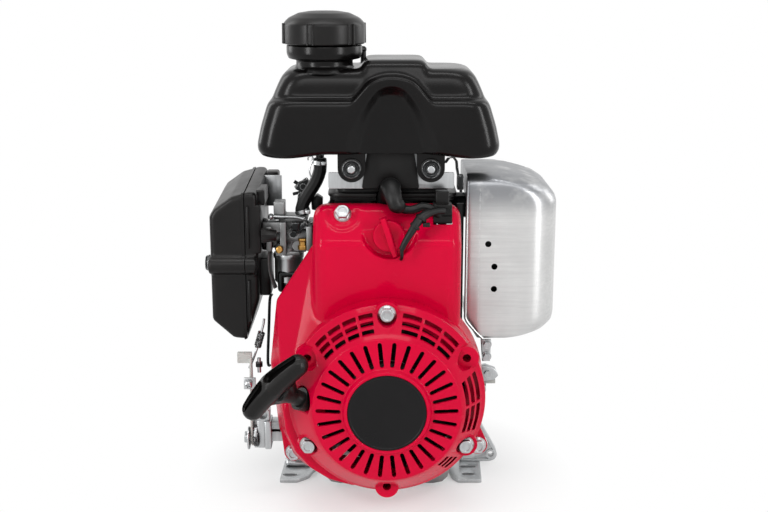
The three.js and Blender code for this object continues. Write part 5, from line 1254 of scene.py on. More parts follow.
def bell_hollow():
    """The bell-shaped hollow in the tank's front, with wide soft flanks."""
    t, b = TANK, BELL
    rings = []
    for grow, rise, y in (
        (9, 4, t["front"] - 4), (6.5, 3, t["front"] + 0.1), (4, 1.5, t["front"] + 1.2),
        (0, -1, t["front"] + 4.2),
        (-4, -4, t["front"] + 7.4), (-7, -7, t["bell_back"] - 0.6), (-11, -10, t["bell_back"]),
    ):
        outline = mirrored_outline(
            BELL_SHARES, b["left"] - grow, b["right"] + grow, t["bottom"] - 8,
            b["top"] - t["bottom"] + 8 + rise,
        )
        rings.append([(x, y, z) for x, z in rounded_outline(outline, 12, 6)])
    return skin("bell", rings)


def sagged(body):
    """Lets the tank's belly hang a little lower towards its two ends."""
    middle = (TANK["left"] + TANK["right"]) / 2
    for vertex in body.data.vertices:
        x, z = vertex.co.x / MM, vertex.co.z / MM
        out = min(max((abs(x - middle) - 38) / 36, 0), 1)
        low = min(max((312 - z) / 18, 0), 1)
        vertex.co.z -= 3.2 * MM * out * out * (3 - 2 * out) * low


def tank_body():
    t = TANK
    left, right, ridge_top = t["ridge"]
    body = tank_tier("tank_body", [
        (9, 6, 5, 292), (3.4, 2.4, 2, 293.6), (0.6, 0.6, 0.4, 297), (0, 0, 0, 301), (3.6, 0.6, 0.6, 315),
        (7.6, 1.2, 2.2, 328), (9.2, 1.8, 2.8, 332), (12, 4, 4, 334.5), (17, 9, 7, 335.5),
    ], t["corner"])
    upper = tank_tier("upper_tier", [
        (10.5, 9.5, 3.5, 330), (13, 10, 5, 338), (16.5, 11, 8, 346), (19.6, 12.6, 12, 352),
        (23.5, 15.5, 17, 356),
        (29, 20, 23, 358),
    ], t["corner"])
    ridge = skin("ridge", [
        [
            (x, y, z)
            for x, y in rounded_rectangle(left - grow, right + grow, -55.6 + front, 23.5 - front, 7, 4)
        ]
        for grow, front, z in (
            (3.5, -2.5, 340), (2.6, 0, 352), (0.8, 2.4, 361), (-2.5, 7, 364.4), (-7, 12, ridge_top),
        )
    ])
    arch = plate_y("arch", rounded_outline(mirrored_outline(
        ARCH_SHARES, ARCH["left"], ARCH["right"], ARCH["foot"], ARCH["top"] - ARCH["foot"],
    ), 8, 5), ARCH["front"], -50)
    fused(body, upper, ridge, arch)
    moulded(body, 1.5, 4)
    carved(body, bell_hollow())
    moulded(body, 1.3, 7)
    sagged(body)
    f = FILLER
    neck = turned("neck", rounded_profile([
        (0, 350), (f["radius"] + 5, 354), (f["radius"] + 0.6, 359.5),
        (f["radius"] + 0.4, f["collar_bottom"] - 1.2),
        (f["collar"] - 1.5, f["collar_bottom"]), (f["collar"], f["collar_bottom"] + 4),
        (f["collar"], f["collar_top"]),
        (f["radius"], f["collar_top"]), (f["radius"], f["top"]), (0, f["top"]),
    ], 1.2), NECK, Z, FINE)
    ears = []
    for x in TANK_EARS:
        e = EAR_PLATE
        points = [
            (x + e["radius"] * math.cos(a), y, e["z"] + e["radius"] * math.sin(a))
            for a in (2 * math.pi * i / 64 for i in range(64)) for y in (e["front"], e["back"])
        ]
        points += [
            (x + side * e["radius"], y, z)
            for side in (-1, 1)
            for y in (e["front"], e["back"])
            for z in (292, 297)
        ]
        ears.append(hull("ear", points))
    fused(body, neck, *ears, bar("spigot", (-51, -15, 283), (-51, -15, 296), 3.4, segments=SMALL))
    holes = [
        bar("ear_hole", (x, -60, EAR_PLATE["z"]), (x, -43, EAR_PLATE["z"]), EAR_PLATE["hole"])
        for x in TANK_EARS
    ]
    return carved(body, bar("filler_bore", NECK + 335 * Z, NECK + 392 * Z, f["bore"]), *holes)


CAP = {
    "radius": 33.4, "bottom": 376.3, "shoulder": 393.0, "top": 402.0, "cavity": 25.0, "ribs": 6,
    "first": -17.0, "rib": 1.0,
}


def cap_body():
    c = CAP
    skirt = c["radius"] - c["rib"]
    body = turned("cap_body", rounded_profile([
        (0, 390.6), (c["cavity"], 390.6), (c["cavity"], c["bottom"]), (skirt - 0.8, c["bottom"]),
        (skirt, c["bottom"] + 0.8),
        (skirt, c["shoulder"] - 1.4), (skirt - 1.6, c["shoulder"] + 0.8), (skirt * 0.86, c["shoulder"] + 3.6),
        (skirt * 0.62, c["top"] - 1.7), (skirt * 0.34, c["top"] - 0.3), (0, c["top"]),
    ], 1.4), NECK, Z, FINE)
    ribs = []
    for i in range(c["ribs"]):
        angle = math.radians(c["first"] + 360 * i / c["ribs"] - 90)
        out = Vector((math.cos(angle), math.sin(angle), 0))
        side = Vector((-out.y, out.x, 0))
        for offset in (-2.3, 2.3):
            low = NECK + (c["radius"] - 1.0) * out + offset * side
            ribs.append(
                bar("rib", low + (c["bottom"] + 0.4) * Z, low + (c["shoulder"] - 0.6) * Z, 1.0, 0.8, 16)
            )
    return fused(body, *ribs)


def tank_mountings():
    """The rubber bush in each ear, its dark dished washer and the bright end of the stud."""
    e = EAR_PLATE
    for side, x in zip(("left", "right"), TANK_EARS):
        centre = (x, 0, e["z"])
        bush = turned(f"tank_bush_{side}", rounded_profile([
            (3.4, e["front"] - 2.2), (5.0, e["front"] - 2.4), (8.2, e["front"] - 1.9),
            (8.5, e["front"] - 0.4),
            (6.0, e["front"] - 0.2), (6.0, e["back"] + 0.2), (8.4, e["back"] + 0.4), (8.4, e["back"] + 2.2),
            (3.4, e["back"] + 2.2),
        ], 0.7), centre, Y, 72)
        placed(bush, "engine", "rubber", [f"tank_grommet_{side}"])
        washer = turned(f"tank_washer_{side}", rounded_profile([
            (3.3, e["front"] - 2.7), (5.2, e["front"] - 2.7), (6.8, e["front"] - 3.8),
            (7.3, e["front"] - 3.6),
            (6.2, e["front"] - 2.5), (3.3, e["front"] - 2.5),
        ], 0.3), centre, Y, 72)
        placed(washer, "engine", "dark_steel")
        stud = turned(f"tank_stud_{side}", rounded_profile([
            (0, e["front"] - 5.6), (2.6, e["front"] - 5.4), (3.1, e["front"] - 4.8), (3.1, -38.2), (0, -38.2),
        ], 0.5), centre, Y, 48)
        placed(stud, "engine", "zinc_steel", [f"tank_bolt_{side}"])


# Muffler shield

SHIELD = {
    "left": 69.0, "right": 145.8, "front": -38.0, "back": 50.0, "bottom": 133.0, "top": 272.0,
    "wall": 1.5,
}
SHIELD_LEVELS = (
    (133, 84, 124, -33.4), (135.5, 82, 131, -36), (139, 79.4, 138.4, -37.4), (145.5, 74, 144.6, -38),
    (151, 69, 145.8, -38),
    (247, 69, 145.8, -38), (252, 69, 144, -38), (258, 69, 139.2, -38), (263.7, 69, 130.4, -37.6),
    (267.5, 69, 119, -36),
    (270.5, 69, 107, -32.5), (272, 69, 96, -27),
)
SHIELD_HOLES = ((87, 215), (92.4, 196), (92.4, 177))
SHIELD_CORNER = (25.3, 31.7)
SHIELD_SEAM = 79.5


def shield_block(inset):
    """The shield's outside: level by level, its sides, front and a front right corner that curves away."""
    s = SHIELD
    wide, deep = SHIELD_CORNER
    points = []
    for z, left, right, front in SHIELD_LEVELS:
        z = min(max(z, s["bottom"] + inset), s["top"] - inset)
        left, right, front = left + inset, right - inset, front + inset
        points += [(left, front + 1.4, z), (SHIELD_SEAM, front, z), (left, s["back"] + 4 * inset, z)]
        points += [(right, s["back"] + 4 * inset, z)]
        for step in range(9):
            turn = math.pi / 2 * step / 8
            points.append((right - wide * (1 - math.sin(turn)), front + deep * (1 - math.cos(turn)), z))
    return hull("shield_block", points)


def muffler_shield():
    s = SHIELD
    shield = shield_block(0)
    shield.name = "pressed_shield"
    moulded(shield, 1.5, 7)
    holes = [
        bar("hole", (x, s["front"] - 4, z), (x, s["front"] + 6, z), 2.6, segments=SMALL)
        for x, z in SHIELD_HOLES
    ]
    seam = block("seam", (SHIELD_SEAM, s["front"] - 1, 150), (SHIELD_SEAM + 0.5, s["front"] + 0.35, 264))
    opening = block(
        "opening", (s["left"] - 5, s["front"] + 9, s["bottom"] + 18),
        (s["left"] + 7, s["back"] + 8, s["top"] - 20),
    )
    trimmed = block(
        "behind", (s["left"] - 9, s["back"], s["bottom"] - 9),
        (s["right"] + 9, s["back"] + 9, s["top"] + 9),
    )
    return carved(shield, shield_block(s["wall"]), opening, trimmed, seam, *holes)


def shield_edge():
    """The rolled edge down the shield's left side."""
    s = SHIELD
    y = s["front"] + 1.6
    return swept("shield_rolled_edge", [
        (s["left"] + 0.6, y, 267), (s["left"] + 0.3, y, 240), (s["left"] + 0.3, y, 200),
        (s["left"] + 0.3, y, 160),
        (s["left"] + 0.8, y, 150.5), (76, y, 142), (84, y + 1, 133.6),
    ], 1.2, 12)


def shield_stay():
    """The strap under the shield, with the two small bolts that hold it."""
    strap = rounded_solid(
        "shield_stay", carried(((83.5, 131), (91, 131), (85, 113), (90.5, 113)), (-31.5, -30.5)), 0.7,
        4,
    )
    for z in (127.6, 117):
        head = bar("head", (88, -36.4, z), (88, -31, z), 3.0, segments=6)
        fused(strap, head, bar("washer", (88, -33.2, z), (88, -31, z), 4.1, 3.9, 24))
    return strap


# Air cleaner

CLEANER = {
    "left": -141.0, "split": -112.0, "right": -101.5, "front": -38.0, "back": 62.0, "bottom": 133.0,
    "top": 263.5, "wall": 2.2, "round": 4.0, "lean": 6.0,
}
CLEANER_SHARES = (
    (0, 0.26), (0.28, 0), (0.56, 0.01), (1, 0.13), (1, 0.85), (0.91, 0.893), (0.55, 0.97), (0.2, 1), (0, 1),
)
CLEANER_BOSS = {"y": -29.0, "z": 197.0, "radius": 8.0, "forward": 8.0, "end": -142.4}
CLEANER_NUT = {"radius": 7.0, "across": 11.2, "end": -145.8, "seat": -142.7}
THROAT = {"y": -10.0, "z": 217.3, "inlet": 11.0, "bore": 8.5, "left": -95.7}


def cleaner_block(inset, front_round=None):
    """The air cleaner's outside: a tall box with sloped upper and lower edges."""
    c = CLEANER
    r = c["round"] if front_round is None else front_round
    outline = [
        (c["right"] - (c["right"] - c["left"]) * x, c["bottom"] + (c["top"] - c["bottom"]) * z)
        for x, z in reversed(CLEANER_SHARES)
    ]
    points = []
    middle = (c["bottom"] + c["top"]) / 2
    for x, z in inset_outline(outline, r + inset):
        points += ball((x, c["back"] - r - inset, z), r, 8)
        points += ball((x, c["front"] + r + inset, z - (c["lean"] if z > middle else 0)), r, 8)
    return hull("cleaner_block", points)


def along_boss(name, start, end, radius, end_radius=None, segments=ROUND):
    b = CLEANER_BOSS
    return bar(name, (start, b["y"], b["z"]), (end, b["y"], b["z"]), radius, end_radius, segments)


def cleaner_shell():
    """Cover and case as one moulding, with the boss that the cover's stud runs through."""
    b = CLEANER_BOSS
    shell = cleaner_block(0)
    boss = hull("boss", [
        (x, y + size * math.cos(a), b["z"] + size * math.sin(a))
        for x, shrink in ((b["end"] + 0.2, 0.9), (b["end"] + 1.6, 0.0), (-103, 0.0))
        for y, size in ((b["y"], b["radius"] - shrink), (b["y"] - b["forward"], b["radius"] - 0.6 - shrink))
        for a in (2 * math.pi * i / 48 for i in range(48))
    ])
    fused(shell, boss)
    return moulded(shell, 1.1, 4)


def cleaner_inside():
    c, b = CLEANER, CLEANER_BOSS
    return carved(
        cleaner_block(c["wall"], 3),
        along_boss("boss_wall", c["left"] - 5, c["right"] + 5, b["radius"] - 1),
    )


def air_cleaner():
    c, b = CLEANER, CLEANER_BOSS
    cover = cleaner_shell()
    inside = cleaner_inside()
    case = duplicate(cover)
    far = 300
    carved(
        cover, duplicate(inside), block("right_half", (c["split"] - 0.3, -far, 0), (far, far, far)),
        along_boss("stud_hole", b["end"] - 4, c["split"] + 4, 3.6, segments=SMALL),
    )
    fused(cover, *cover_rim())
    carved(case, inside, block("left_half", (-far, -far, 0), (c["split"] + 0.3, far, far)))
    t = THROAT
    fused(
        case,
        bar("throat", (c["right"] - 2, t["y"], t["z"]), (t["left"] - 0.3, t["y"], t["z"]), t["inlet"]),
        along_boss("stud", CLEANER_NUT["end"] + 1.2, c["right"] - 2, 3.0, segments=SMALL),
        rounded_box("duct", (-100, -92.6), (44, 56), (248, 259.5), 2.0),
        rounded_box("front_box", (-108, -97.8), (-24, 4), (246, 256), 1.4),
        rounded_box("low_box", (-106, -95.5), (-16, 8), (168, 196), 2.4),
        rounded_box("case_rib", (-109.6, -108.8), (-40.2, -36), (150, 184), 0.6),
        rounded_box("case_rib", (-109.6, -108.8), (-40.2, -36), (212, 246), 0.6),
        rounded_box("case_step", (-105.4, -100.4), (-36.6, 20), (208, 246), 1.2),
    )
    carved(case, bar("bore", (c["right"] - 6, t["y"], t["z"]), (t["left"] + 4, t["y"], t["z"]), t["bore"]))
    cover.name, case.name = "cleaner_cover", "cleaner_case"
    placed(cover, "air_cleaner_cover", "black_plastic", ["air_cleaner_cover"])
    placed(case, "engine", "black_plastic", ["air_cleaner_case"])


def cover_rim():
    """The lip round the cover's open edge."""
    c = CLEANER
    outer = cleaner_block(-0.7, c["round"])
    keep = block("keep", (c["split"] - 2.6, -200, 0), (c["split"] - 0.3, 200, 400))
    combined(outer, "INTERSECT", [keep])
    return [carved(outer, cleaner_block(c["wall"], 3))]


def cleaner_nut():
    """The nut that holds the cover: a thin flange and a hexagon with a broken edge."""
    n = CLEANER_NUT
    nut = along_boss("cleaner_cap_nut", n["end"], n["seat"], n["across"] / math.sqrt(3), segments=6)
    combined(
        nut, "INTERSECT",
        [along_boss("chamfer", n["end"], n["seat"], n["across"] / 2 - 0.2, n["across"] / 2 + 3)],
    )
    fused(nut, along_boss("flange", n["seat"] - 1.0, n["seat"], n["radius"] - 0.4, n["radius"]))
    return carved(nut, along_boss("hole", n["end"] + 0.9, n["seat"] + 3, 3.3, segments=SMALL))


# Spark plug cap and leads

ELBOW_END = Vector((9.5, -68, 254))
LEAD = {"radius": 3.4, "reach": (46, -9.5, 54), "block": ((40.5, -67, 238), (55.5, -51, 263))}
LEAD_SHARES = (
    (-0.02, -0.15, 0.04), (0.06, 0.1, -0.05), (0.3, 0.02, -0.08), (0.5, -0.08, -0.04), (0.68, -0.1, -0.09),
    (0.8, -0.55, -0.22), (0.84, -0.82, -0.34), (0.82, -0.86, -0.48), (0.76, -0.88, -0.66),
    (0.64, -0.86, -0.84),
    (0.48, -0.94, -0.97), (0.315, -1, -1),
)


def plug_cap():
    """The spark plug's rubber cap: a bowed boot that narrows, turns down and ends in a collar."""
    tip = PLUG_TIP
    boot = swept("plug_cap", [
        tip - 40 * PLUG_AXIS, tip - 18 * PLUG_AXIS, tip - 5 * PLUG_AXIS, tip + 1.4 * PLUG_AXIS - 1.4 * Z,
        tip.lerp(ELBOW_END, 0.5) + Vector((0.6, -5.4, 0)), ELBOW_END + Vector((1.4, -4.6, 0.6)),
        ELBOW_END + Vector((5.6, -2.6, -1.6)),
    ], (8.6, 8.6, 8.2, 7.8, 6.8, 5.9, 4.6), 28, 8)
    ring = ball_chain(
        "ring",
        [(ELBOW_END + Vector((1.4, -4.4, 0.4)), 6.4), (ELBOW_END + Vector((3.4, -3.4, -0.8)), 6.0)], 8,
    )
    lip = ball_chain("lip", [(tip - 6 * PLUG_AXIS + 1.2 * Z, 8.5), (tip - 3.4 * PLUG_AXIS + 0.6 * Z, 8.3)], 8)
    return moulded(fused(boot, ring, lip), 0.6, 3)


def ignition_lead():
    x, y, z = LEAD["reach"]
    route = [ELBOW_END + Vector((x * a, y * b, z * c)) for a, b, c in LEAD_SHARES]
    return swept("ignition_lead_run", route, LEAD["radius"], 24, 8)


def lead_clip():
    """The moulded clip at the top of the coil, with the grooves that hold the lead."""
    low, high = LEAD["block"]
    top = low[2] + 15
    clip = rounded_box(
        "lead_clip", (low[0] + 0.6, high[0] - 0.6), (low[1] + 0.6, high[1] - 0.6),
        (low[2] + 0.6, top - 0.6), 0.6,
    )
    carved(
        clip,
        block("groove", (low[0] - 3, low[1] - 3, low[2] + 6), (high[0] + 3, low[1] + 2, low[2] + 7.4)),
    )
    back = rounded_box(
        "back", (low[0] + 3, high[0] - 3), (low[1] + 8, high[1] - 1), (low[2] + 4, high[2] - 1), 0.8,
    )
    return fused(
        clip, back, bar("pin", (51, low[1] + 2, top - 4), (51, low[1] - 1.4, top - 4), 1.7, 1.4, SMALL),
    )


def switch_wire():
    """The switch's own wire in its thick sleeve, tied once, which runs down to the knob's pocket."""
    wire = swept("switch_wire", [
        (49, -69, 249), (42, -73, 249.6), (34, -78.4, 247.8), (28.2, -83, 243.6), (23.4, -86, 236.6),
        (18.4, -87.4, 228.6), (15.4, -87.4, 222.4),
    ], (2.6, 3.0, 3.6, 3.7, 3.0, 2.5, 2.2), 20, 6)
    fused(wire, swept("wire_end", [
        (17.6, -87.4, 227.2), (15.6, -87.6, 222.2), (15.6, -86.6, 216.4), (15.2, -83, 213.2),
        (15, -78.6, 212.2),
    ], (1.8, 1.6, 1.3, 1.2, 1.2), 12, 6))
    along = Vector((-0.6, -0.24, -0.76)).normalized()
    for place, size in ((Vector((30.6, -81.4, 245.4)), 4.9), (Vector((25.6, -84.8, 239.8)), 4.3)):
        fused(wire, bar("tie", place - 1.0 * along, place + 1.0 * along, size, segments=24))
    return fused(
        wire,
        rounded_solid(
            "tie_head",
            [
                Vector((34.6, -84.4, 241)) + Vector((a, b, c))
                for a in (-2.2, 2.2)
                for b in (-1.4, 1.4)
                for c in (-1, 1)
            ],
            0.6, 4,
        ),
    )


def top_guard():
    """The bent strap by the coil, hooked at its top end."""
    outline = [
        (50.6, 283.2), (53.4, 287), (57.4, 287.4), (59.6, 284.4), (60.2, 278), (63.2, 264), (63.6, 259),
    ]
    return skin("coil_strap", [
        [
            (x + side * 1.1, y, z) for side, y in ((-1, -46.5), (1, -46.5), (1, -41.5), (-1, -41.5))
        ] for x, z in outline
    ])


def strap_catch():
    """The dark catch behind the strap."""
    return rounded_box("strap_catch", (61.4, 64.4), (-46, -40), (262.6, 272.4), 1.2)


# Carburettor side

def screw_head(name, place, out, radius, height, drive="slot"):
    """A round screw head with a domed edge and its slot or cross."""
    place, out = Vector(place), Vector(out).normalized()
    head = turned(name, rounded_profile([
        (0, -0.6), (radius, -0.6), (radius, height * 0.5), (radius * 0.7, height), (0, height),
    ], 0.6), place, out, 36)
    across = out.orthogonal().normalized()
    other = out.cross(across)
    turn = 0.6
    across, other = math.cos(
        turn
    ) * across + math.sin(turn) * other, math.cos(turn) * other - math.sin(turn) * across
    cuts = [(across, other)] + ([(other, across)] if drive == "cross" else [])
    for long_way, short_way in cuts:
        reach = radius * (1.2 if drive == "slot" else 0.6)
        carved(head, hull("slot", [
            place + out * h + long_way * reach * a + short_way * radius * 0.13 * b
            for h in (height * 0.45, height + 2) for a in (-1, 1) for b in (-1, 1)
        ]))
    return head


def carburettor_casting():
    """The carburettor's body: a ribbed casting with its throat, flanges, bosses and cover screws."""
    t = THROAT
    body = rounded_box("carb_casting", (-82.4, -64.6), (-18.4, 4), (205.4, 229.4), 1.6, 5)
    fused(
        body,
        bar("horn", (t["left"] + 0.4, t["y"], t["z"]), (-57.2, t["y"], t["z"]), 11.6),
        rounded_box("inlet_flange", (-94.6, -91.8), (-29.4, 9.4), (208, 227), 0.9),
        rounded_box("outlet_flange", (-61.4, -58.2), (-29.4, 9.4), (208, 227), 0.9),
        rounded_box("top_plate", (-84.8, -63), (-20.4, 6), (230.4, 232.2), 0.9),
        bar("bowl_neck", (-78.6, -10, 201.2), (-78.6, -10, 207), 11.0),
        rounded_box("foot_flange", (-88, -69.4), (-21, 1), (202, 204), 0.8),
        bar("screw_tower", (-70.6, -21, 209.6), (-70.6, -12, 209.6), 4.0),
        bar("shaft_boss", (-73.2, -24, 221), (-73.2, -12, 221), 4.6, 5.0),
    )
    for x in (-80, -75, -70, -66):
        fused(body, rounded_box("rib", (x - 0.2, x + 0.2), (-20.4, -17), (207, 228), 0.5))
    carved(body, bar("bore", (t["left"] - 3, t["y"], t["z"]), (-54, t["y"], t["z"]), t["bore"]))
    placed(body, "engine", "cast_aluminium", ["carburetor"])
    for i, (x, y) in enumerate(((-83, -18.6), (-65, -18.6), (-83, 4), (-65, 4))):
        placed(
            screw_head(f"cover_screw_{i + 1}", (x, y, 233.0), Z, 2.1, 1.5, "cross"), "engine",
            "zinc_steel",
        )
    lever = rounded_solid(
        "throttle_arm",
        carried(((-74.8, 219.4), (-71.6, 219.4), (-64, 231), (-61.8, 229.4)), (-26.6, -25.6)), 0.6, 4,
    )
    fused(
        lever, bar("nut", (-73.2, -29.4, 221), (-73.2, -25.6, 221), 3.0, segments=6),
        bar("pin", (-63.2, -29.6, 230), (-63.2, -24.6, 230), 1.5, segments=SMALL),
    )
    placed(lever, "engine", "dark_steel")
    placed(
        coil_spring("idle_spring", (-84.5, -31.4, 209), (-84.5, -26.6, 209), 2.3, 0.5, 4), "engine",
        "zinc_steel",
    )
    link = swept(
        "choke_link",
        [(-91.6, -24.6, 235.4), (-84, -24.6, 235.2), (-72, -24.6, 235.0), (-64.6, -24.8, 233.4)], 1.1,
        12,
    )
    fused(
        link,
        ball_chain("eye", [(Vector((-91.6, -26.4, 235.4)), 2.3), (Vector((-91.6, -23.4, 235.4)), 2.3)], 8),
    )
    placed(link, "engine", "zinc_steel")
    placed(rounded_box("link_bush", (-73.8, -69), (-27.4, -23), (224.6, 229.6), 1.0), "engine", "dark_steel")
    port = turned("horn_seal", rounded_profile([
        (t["bore"] + 1, -100.6), (12.6, -100.6), (13.6, -98.4), (12.8, -95.9), (t["bore"] + 1, -95.9),
    ], 0.8), (0, t["y"], t["z"]), X, 72)
    placed(port, "engine", "rubber")


def linkage_cluster():
    """The dark levers, clip and pins between the carburettor and the hose."""
    rack = rounded_solid(
        "linkage_plate", carried(((-71, 236), (-67.4, 236), (-64.4, 252), (-69.6, 251)), (-6.4, -4.6)),
        0.8, 4,
    )
    fused(
        rack,
        rounded_solid(
            "head",
            carried(
                ((-71.6, 255.4), (-69, 260.6), (-62.4, 262), (-60.6, 256.6), (-64, 251.4)),
                (-6.4, -4.6),
            ),
            0.8, 4,
        ),
        bar("stem", (-73.4, -5.4, 261.4), (-69, -5.4, 258.6), 1.5, segments=SMALL),
        bar("stem", (-74.6, -5.4, 250.6), (-67, -5.4, 252.4), 1.3, segments=SMALL),
        bar("eye", (-65.8, -8.4, 257.2), (-65.8, -2.6, 257.2), 2.6, segments=SMALL),
    )
    placed(rack, "engine", "dark_steel")
    placed(
        rounded_solid(
            "linkage_block",
            carried(((-58, 238), (-51.4, 236.6), (-51, 246), (-54.4, 248.4), (-58.4, 246)), (-4, 4)),
            1.2, 4,
        ),
        "engine", "black_plastic",
    )
    wire = swept(
        "clip_wire",
        [
            (-60.6, -18.6, 281.4), (-60.4, -19.4, 284), (-57.4, -19.6, 284.6), (-56.4, -19, 281.6),
            (-58.4, -18.4, 277.6), (-59.6, -18, 272), (-58.4, -17.6, 266.6),
        ],
        0.6, 10,
    )
    placed(wire, "engine", "zinc_steel")


def carburettor_parts():
    """The small castings, straps, screws and hoses round the carburettor."""
    flange = rounded_box("carb_flange", (-97.6, -80), (-27.2, -24.6), (223.4, 230.2), 0.9)
    placed(flange, "engine", "cast_aluminium")
    lug = rounded_box("carb_lug", (-83.4, -79.6), (-29.4, -24), (204.4, 230.6), 0.7)
    fused(lug, ball_chain("boss", [(Vector((-84.5, -27.6, 209)), 4.2), (Vector((-84.5, -24, 209)), 4.4)], 6))
    placed(lug, "engine", "cast_aluminium")
    placed(
        screw_head("idle_screw", (-84.5, -31.4, 209), (0, -1, 0), 3.3, 2.0), "engine", None,
        material="brass",
    )
    strap = swept("carb_strap", [
        (-90.6, -18, 215), (-92.2, -18, 210.6), (-94, -18, 201), (-94, -18, 190), (-92.3, -18, 181),
        (-89.6, -18, 172.6),
    ], 2.1, 12, 8, 0.45)
    placed(strap, "engine", "cast_aluminium")
    placed(rounded_box("carb_cover", (-88.6, -81.4), (-22, -8), (233, 246), 0.9), "engine", "cast_aluminium")
    plate = rounded_box("carb_plate", (-101.4, -87.8), (33.6, 35.6), (233.6, 259.2), 0.6)
    placed(plate, "engine", "zinc_steel")
    canister = ball_chain(
        "canister",
        [
            (Vector((-84.6, -20, 172.6)), 3.0), (Vector((-84.6, -20, 185)), 3.0),
            (Vector((-72.6, -20, 185)), 3.0),
        ],
        6,
    )
    fused(
        canister, bar("drain", (-79, -20, 173), (-79, -20, 168.5), 2.2, segments=6),
        bar("neck", (-78.6, -12, 172), (-78.6, -12, 188), 8.4),
    )
    placed(canister, "engine", "dark_steel")
    fitting = turned("brass_fitting", rounded_profile([
        (2.1, 0), (4.8, 0), (4.8, 3.4), (3.7, 4.0), (3.7, 7.0), (4.6, 7.6), (4.6, 9.6), (2.1, 9.6),
    ], 0.4), (-66, -20, 206.6), Z, 6)
    placed(fitting, "engine", None, material="brass")
    for i, (place, along) in enumerate(
        (
            ((-52.4, -15, 279), (0.2, 0, 1)), ((-63.6, -14.6, 226), (-0.2, 0, 1)),
            ((-66, -14.4, 238), (-0.3, 0, 1)),
        )
    ):
        along = Vector(along).normalized()
        band = turned(
            f"hose_clamp_{i + 1}", [(5.2, -1.6), (6.2, -1.6), (6.2, 1.6), (5.2, 1.6)], place, along, 48,
        )
        ear = Vector(place) + Vector((4.8, -4.4, 0))
        fused(
            band,
            rounded_solid(
                "ear",
                [ear + Vector((a, b, c)) for a in (-1.4, 1.4) for b in (-1.4, 1.4) for c in (-1.1, 1.1)],
                0.5, 4,
            ),
        )
        placed(band, "engine", "zinc_steel")
    placed(
        coil_spring("linkage_spring", (-72.6, 3, 254), (-62.6, 3, 261.6), 2.0, 0.5, 11), "engine",
        "dark_steel",
    )


# Rods and controls

def rods():
    """The throttle and governor rods, the black spring on the thin one and the bent ends they hook in."""
    placed(swept("throttle_rod", [
        (-97.6, -40, 152), (-98.4, -40, 147), (-99.7, -40, 142), (-103.6, -40, 128), (-107.6, -42, 117),
        (-110.6, -46, 111),
    ], 1.0, 12), "engine", "zinc_steel")
    placed(
        coil_spring("throttle_spring", (-99.9, -40, 140.5), (-103.6, -40.4, 128), 2.5, 0.75, 9),
        "engine", "dark_steel",
    )
    placed(swept("governor_rod_front", [
        (-92.6, -20, 168), (-94.5, -20, 163), (-95.8, -20, 140), (-97.4, -20, 108.5), (-95.4, -20, 104),
    ], 1.25, 12), "engine", "dark_steel")


def control_hardware():
    """The throttle control's bracket, its washer and spring, its nut and the cable's lug."""
    y, z = -50.0, 50.8
    bracket = rounded_box("control_bracket", (-103.4, -98.2), (-52, -34), (43.6, 66), 0.9)
    fused(
        bracket,
        rounded_box("fold", (-97.0, -93.6), (-54, -38), (43.2, 66), 1.0),
        rounded_box("web", (-99, -96), (-50.4, -38), (43.8, 65.6), 0.6),
        rounded_box("arm", (-94, -80), (-45, -34), (57.4, 62.6), 0.8),
        rounded_box("arm", (-94, -80), (-45, -36), (46.6, 54), 0.8),
    )
    placed(bracket, "engine", "zinc_steel")
    lug = rounded_solid(
        "cable_lug",
        carried(((-103.6, 67.4), (-94.6, 67), (-94.2, 75.4), (-98, 77.2), (-101.6, 76.6)), (-52, -44)),
        0.9, 4,
    )
    carved(lug, bar("hollow", (-99.4, -58, 72.2), (-99.4, -45.6, 72.2), 3.9))
    placed(lug, "engine", "zinc_steel")
    placed(bar("cable_stop", (-99.4, -47.2, 72.2), (-99.4, -44, 72.2), 3.7), "engine", "dark_steel")
    placed(coil_spring("friction_spring", (-107, y, z), (-103.4, y, z), 6.6, 0.95, 3), "engine", "dark_steel")
    washer = turned("control_washer", rounded_profile([
        (3, 0), (9.6, 0), (9.6, 1.4), (7.4, 2.0), (3, 2.0),
    ], 0.5), (-112.4, y, z), X, 72)
    for turn in range(3):
        angle = math.radians(30 + 120 * turn)
        place = (y + 6.2 * math.cos(angle), z + 6.2 * math.sin(angle))
        carved(washer, bar("hole", (-116, *place), (-106, *place), 1.5, segments=SMALL))
    placed(washer, "engine", "zinc_steel")
    nut = bar("control_nut", (-115.3, y, z), (-112.2, y, z), 4.3, segments=6)
    fused(nut, bar("stud", (-115.4, y, z), (-93, y, z), 2.4, segments=SMALL))
    placed(nut, "engine", "zinc_steel", radius=0.2)
    placed(
        screw_head("control_screw", (-110, -59.6, 101), (0, -1, 0), 3.4, 2.2, "cross"), "engine",
        "zinc_steel",
    )
    post = bar("screw_post", (-110, -59.6, 101), (-110, -54.8, 101), 2.6, segments=SMALL)
    fused(post, rounded_box("tab", (-113.6, -104.6), (-55.4, -54.4), (96.4, 105.4), 0.5))
    placed(post, "engine", "zinc_steel")
    placed(
        bar("control_pin", (-102, -46, 120), (-102, -46, 107.6), 1.6, segments=SMALL), "engine",
        "zinc_steel",
    )
    placed(
        bar("pin_collar", (-102, -46, 116.4), (-102, -46, 112.6), 2.9, segments=SMALL), "engine",
        "dark_steel",
    )


def cap_tether():
    """The lug in the tank's top that holds the cap's tether."""
    lug = bar("tether_lug", (-15, -10, 352), (-15, -10, 371), 2.6, 2.1, SMALL)
    return fused(
        lug,
        ball_chain("loop", [(Vector((-15, -10, 370.6)), 2.7), (Vector((-19, -12, 370.6)), 2.2)], 6),
    )


# Feet and small brackets

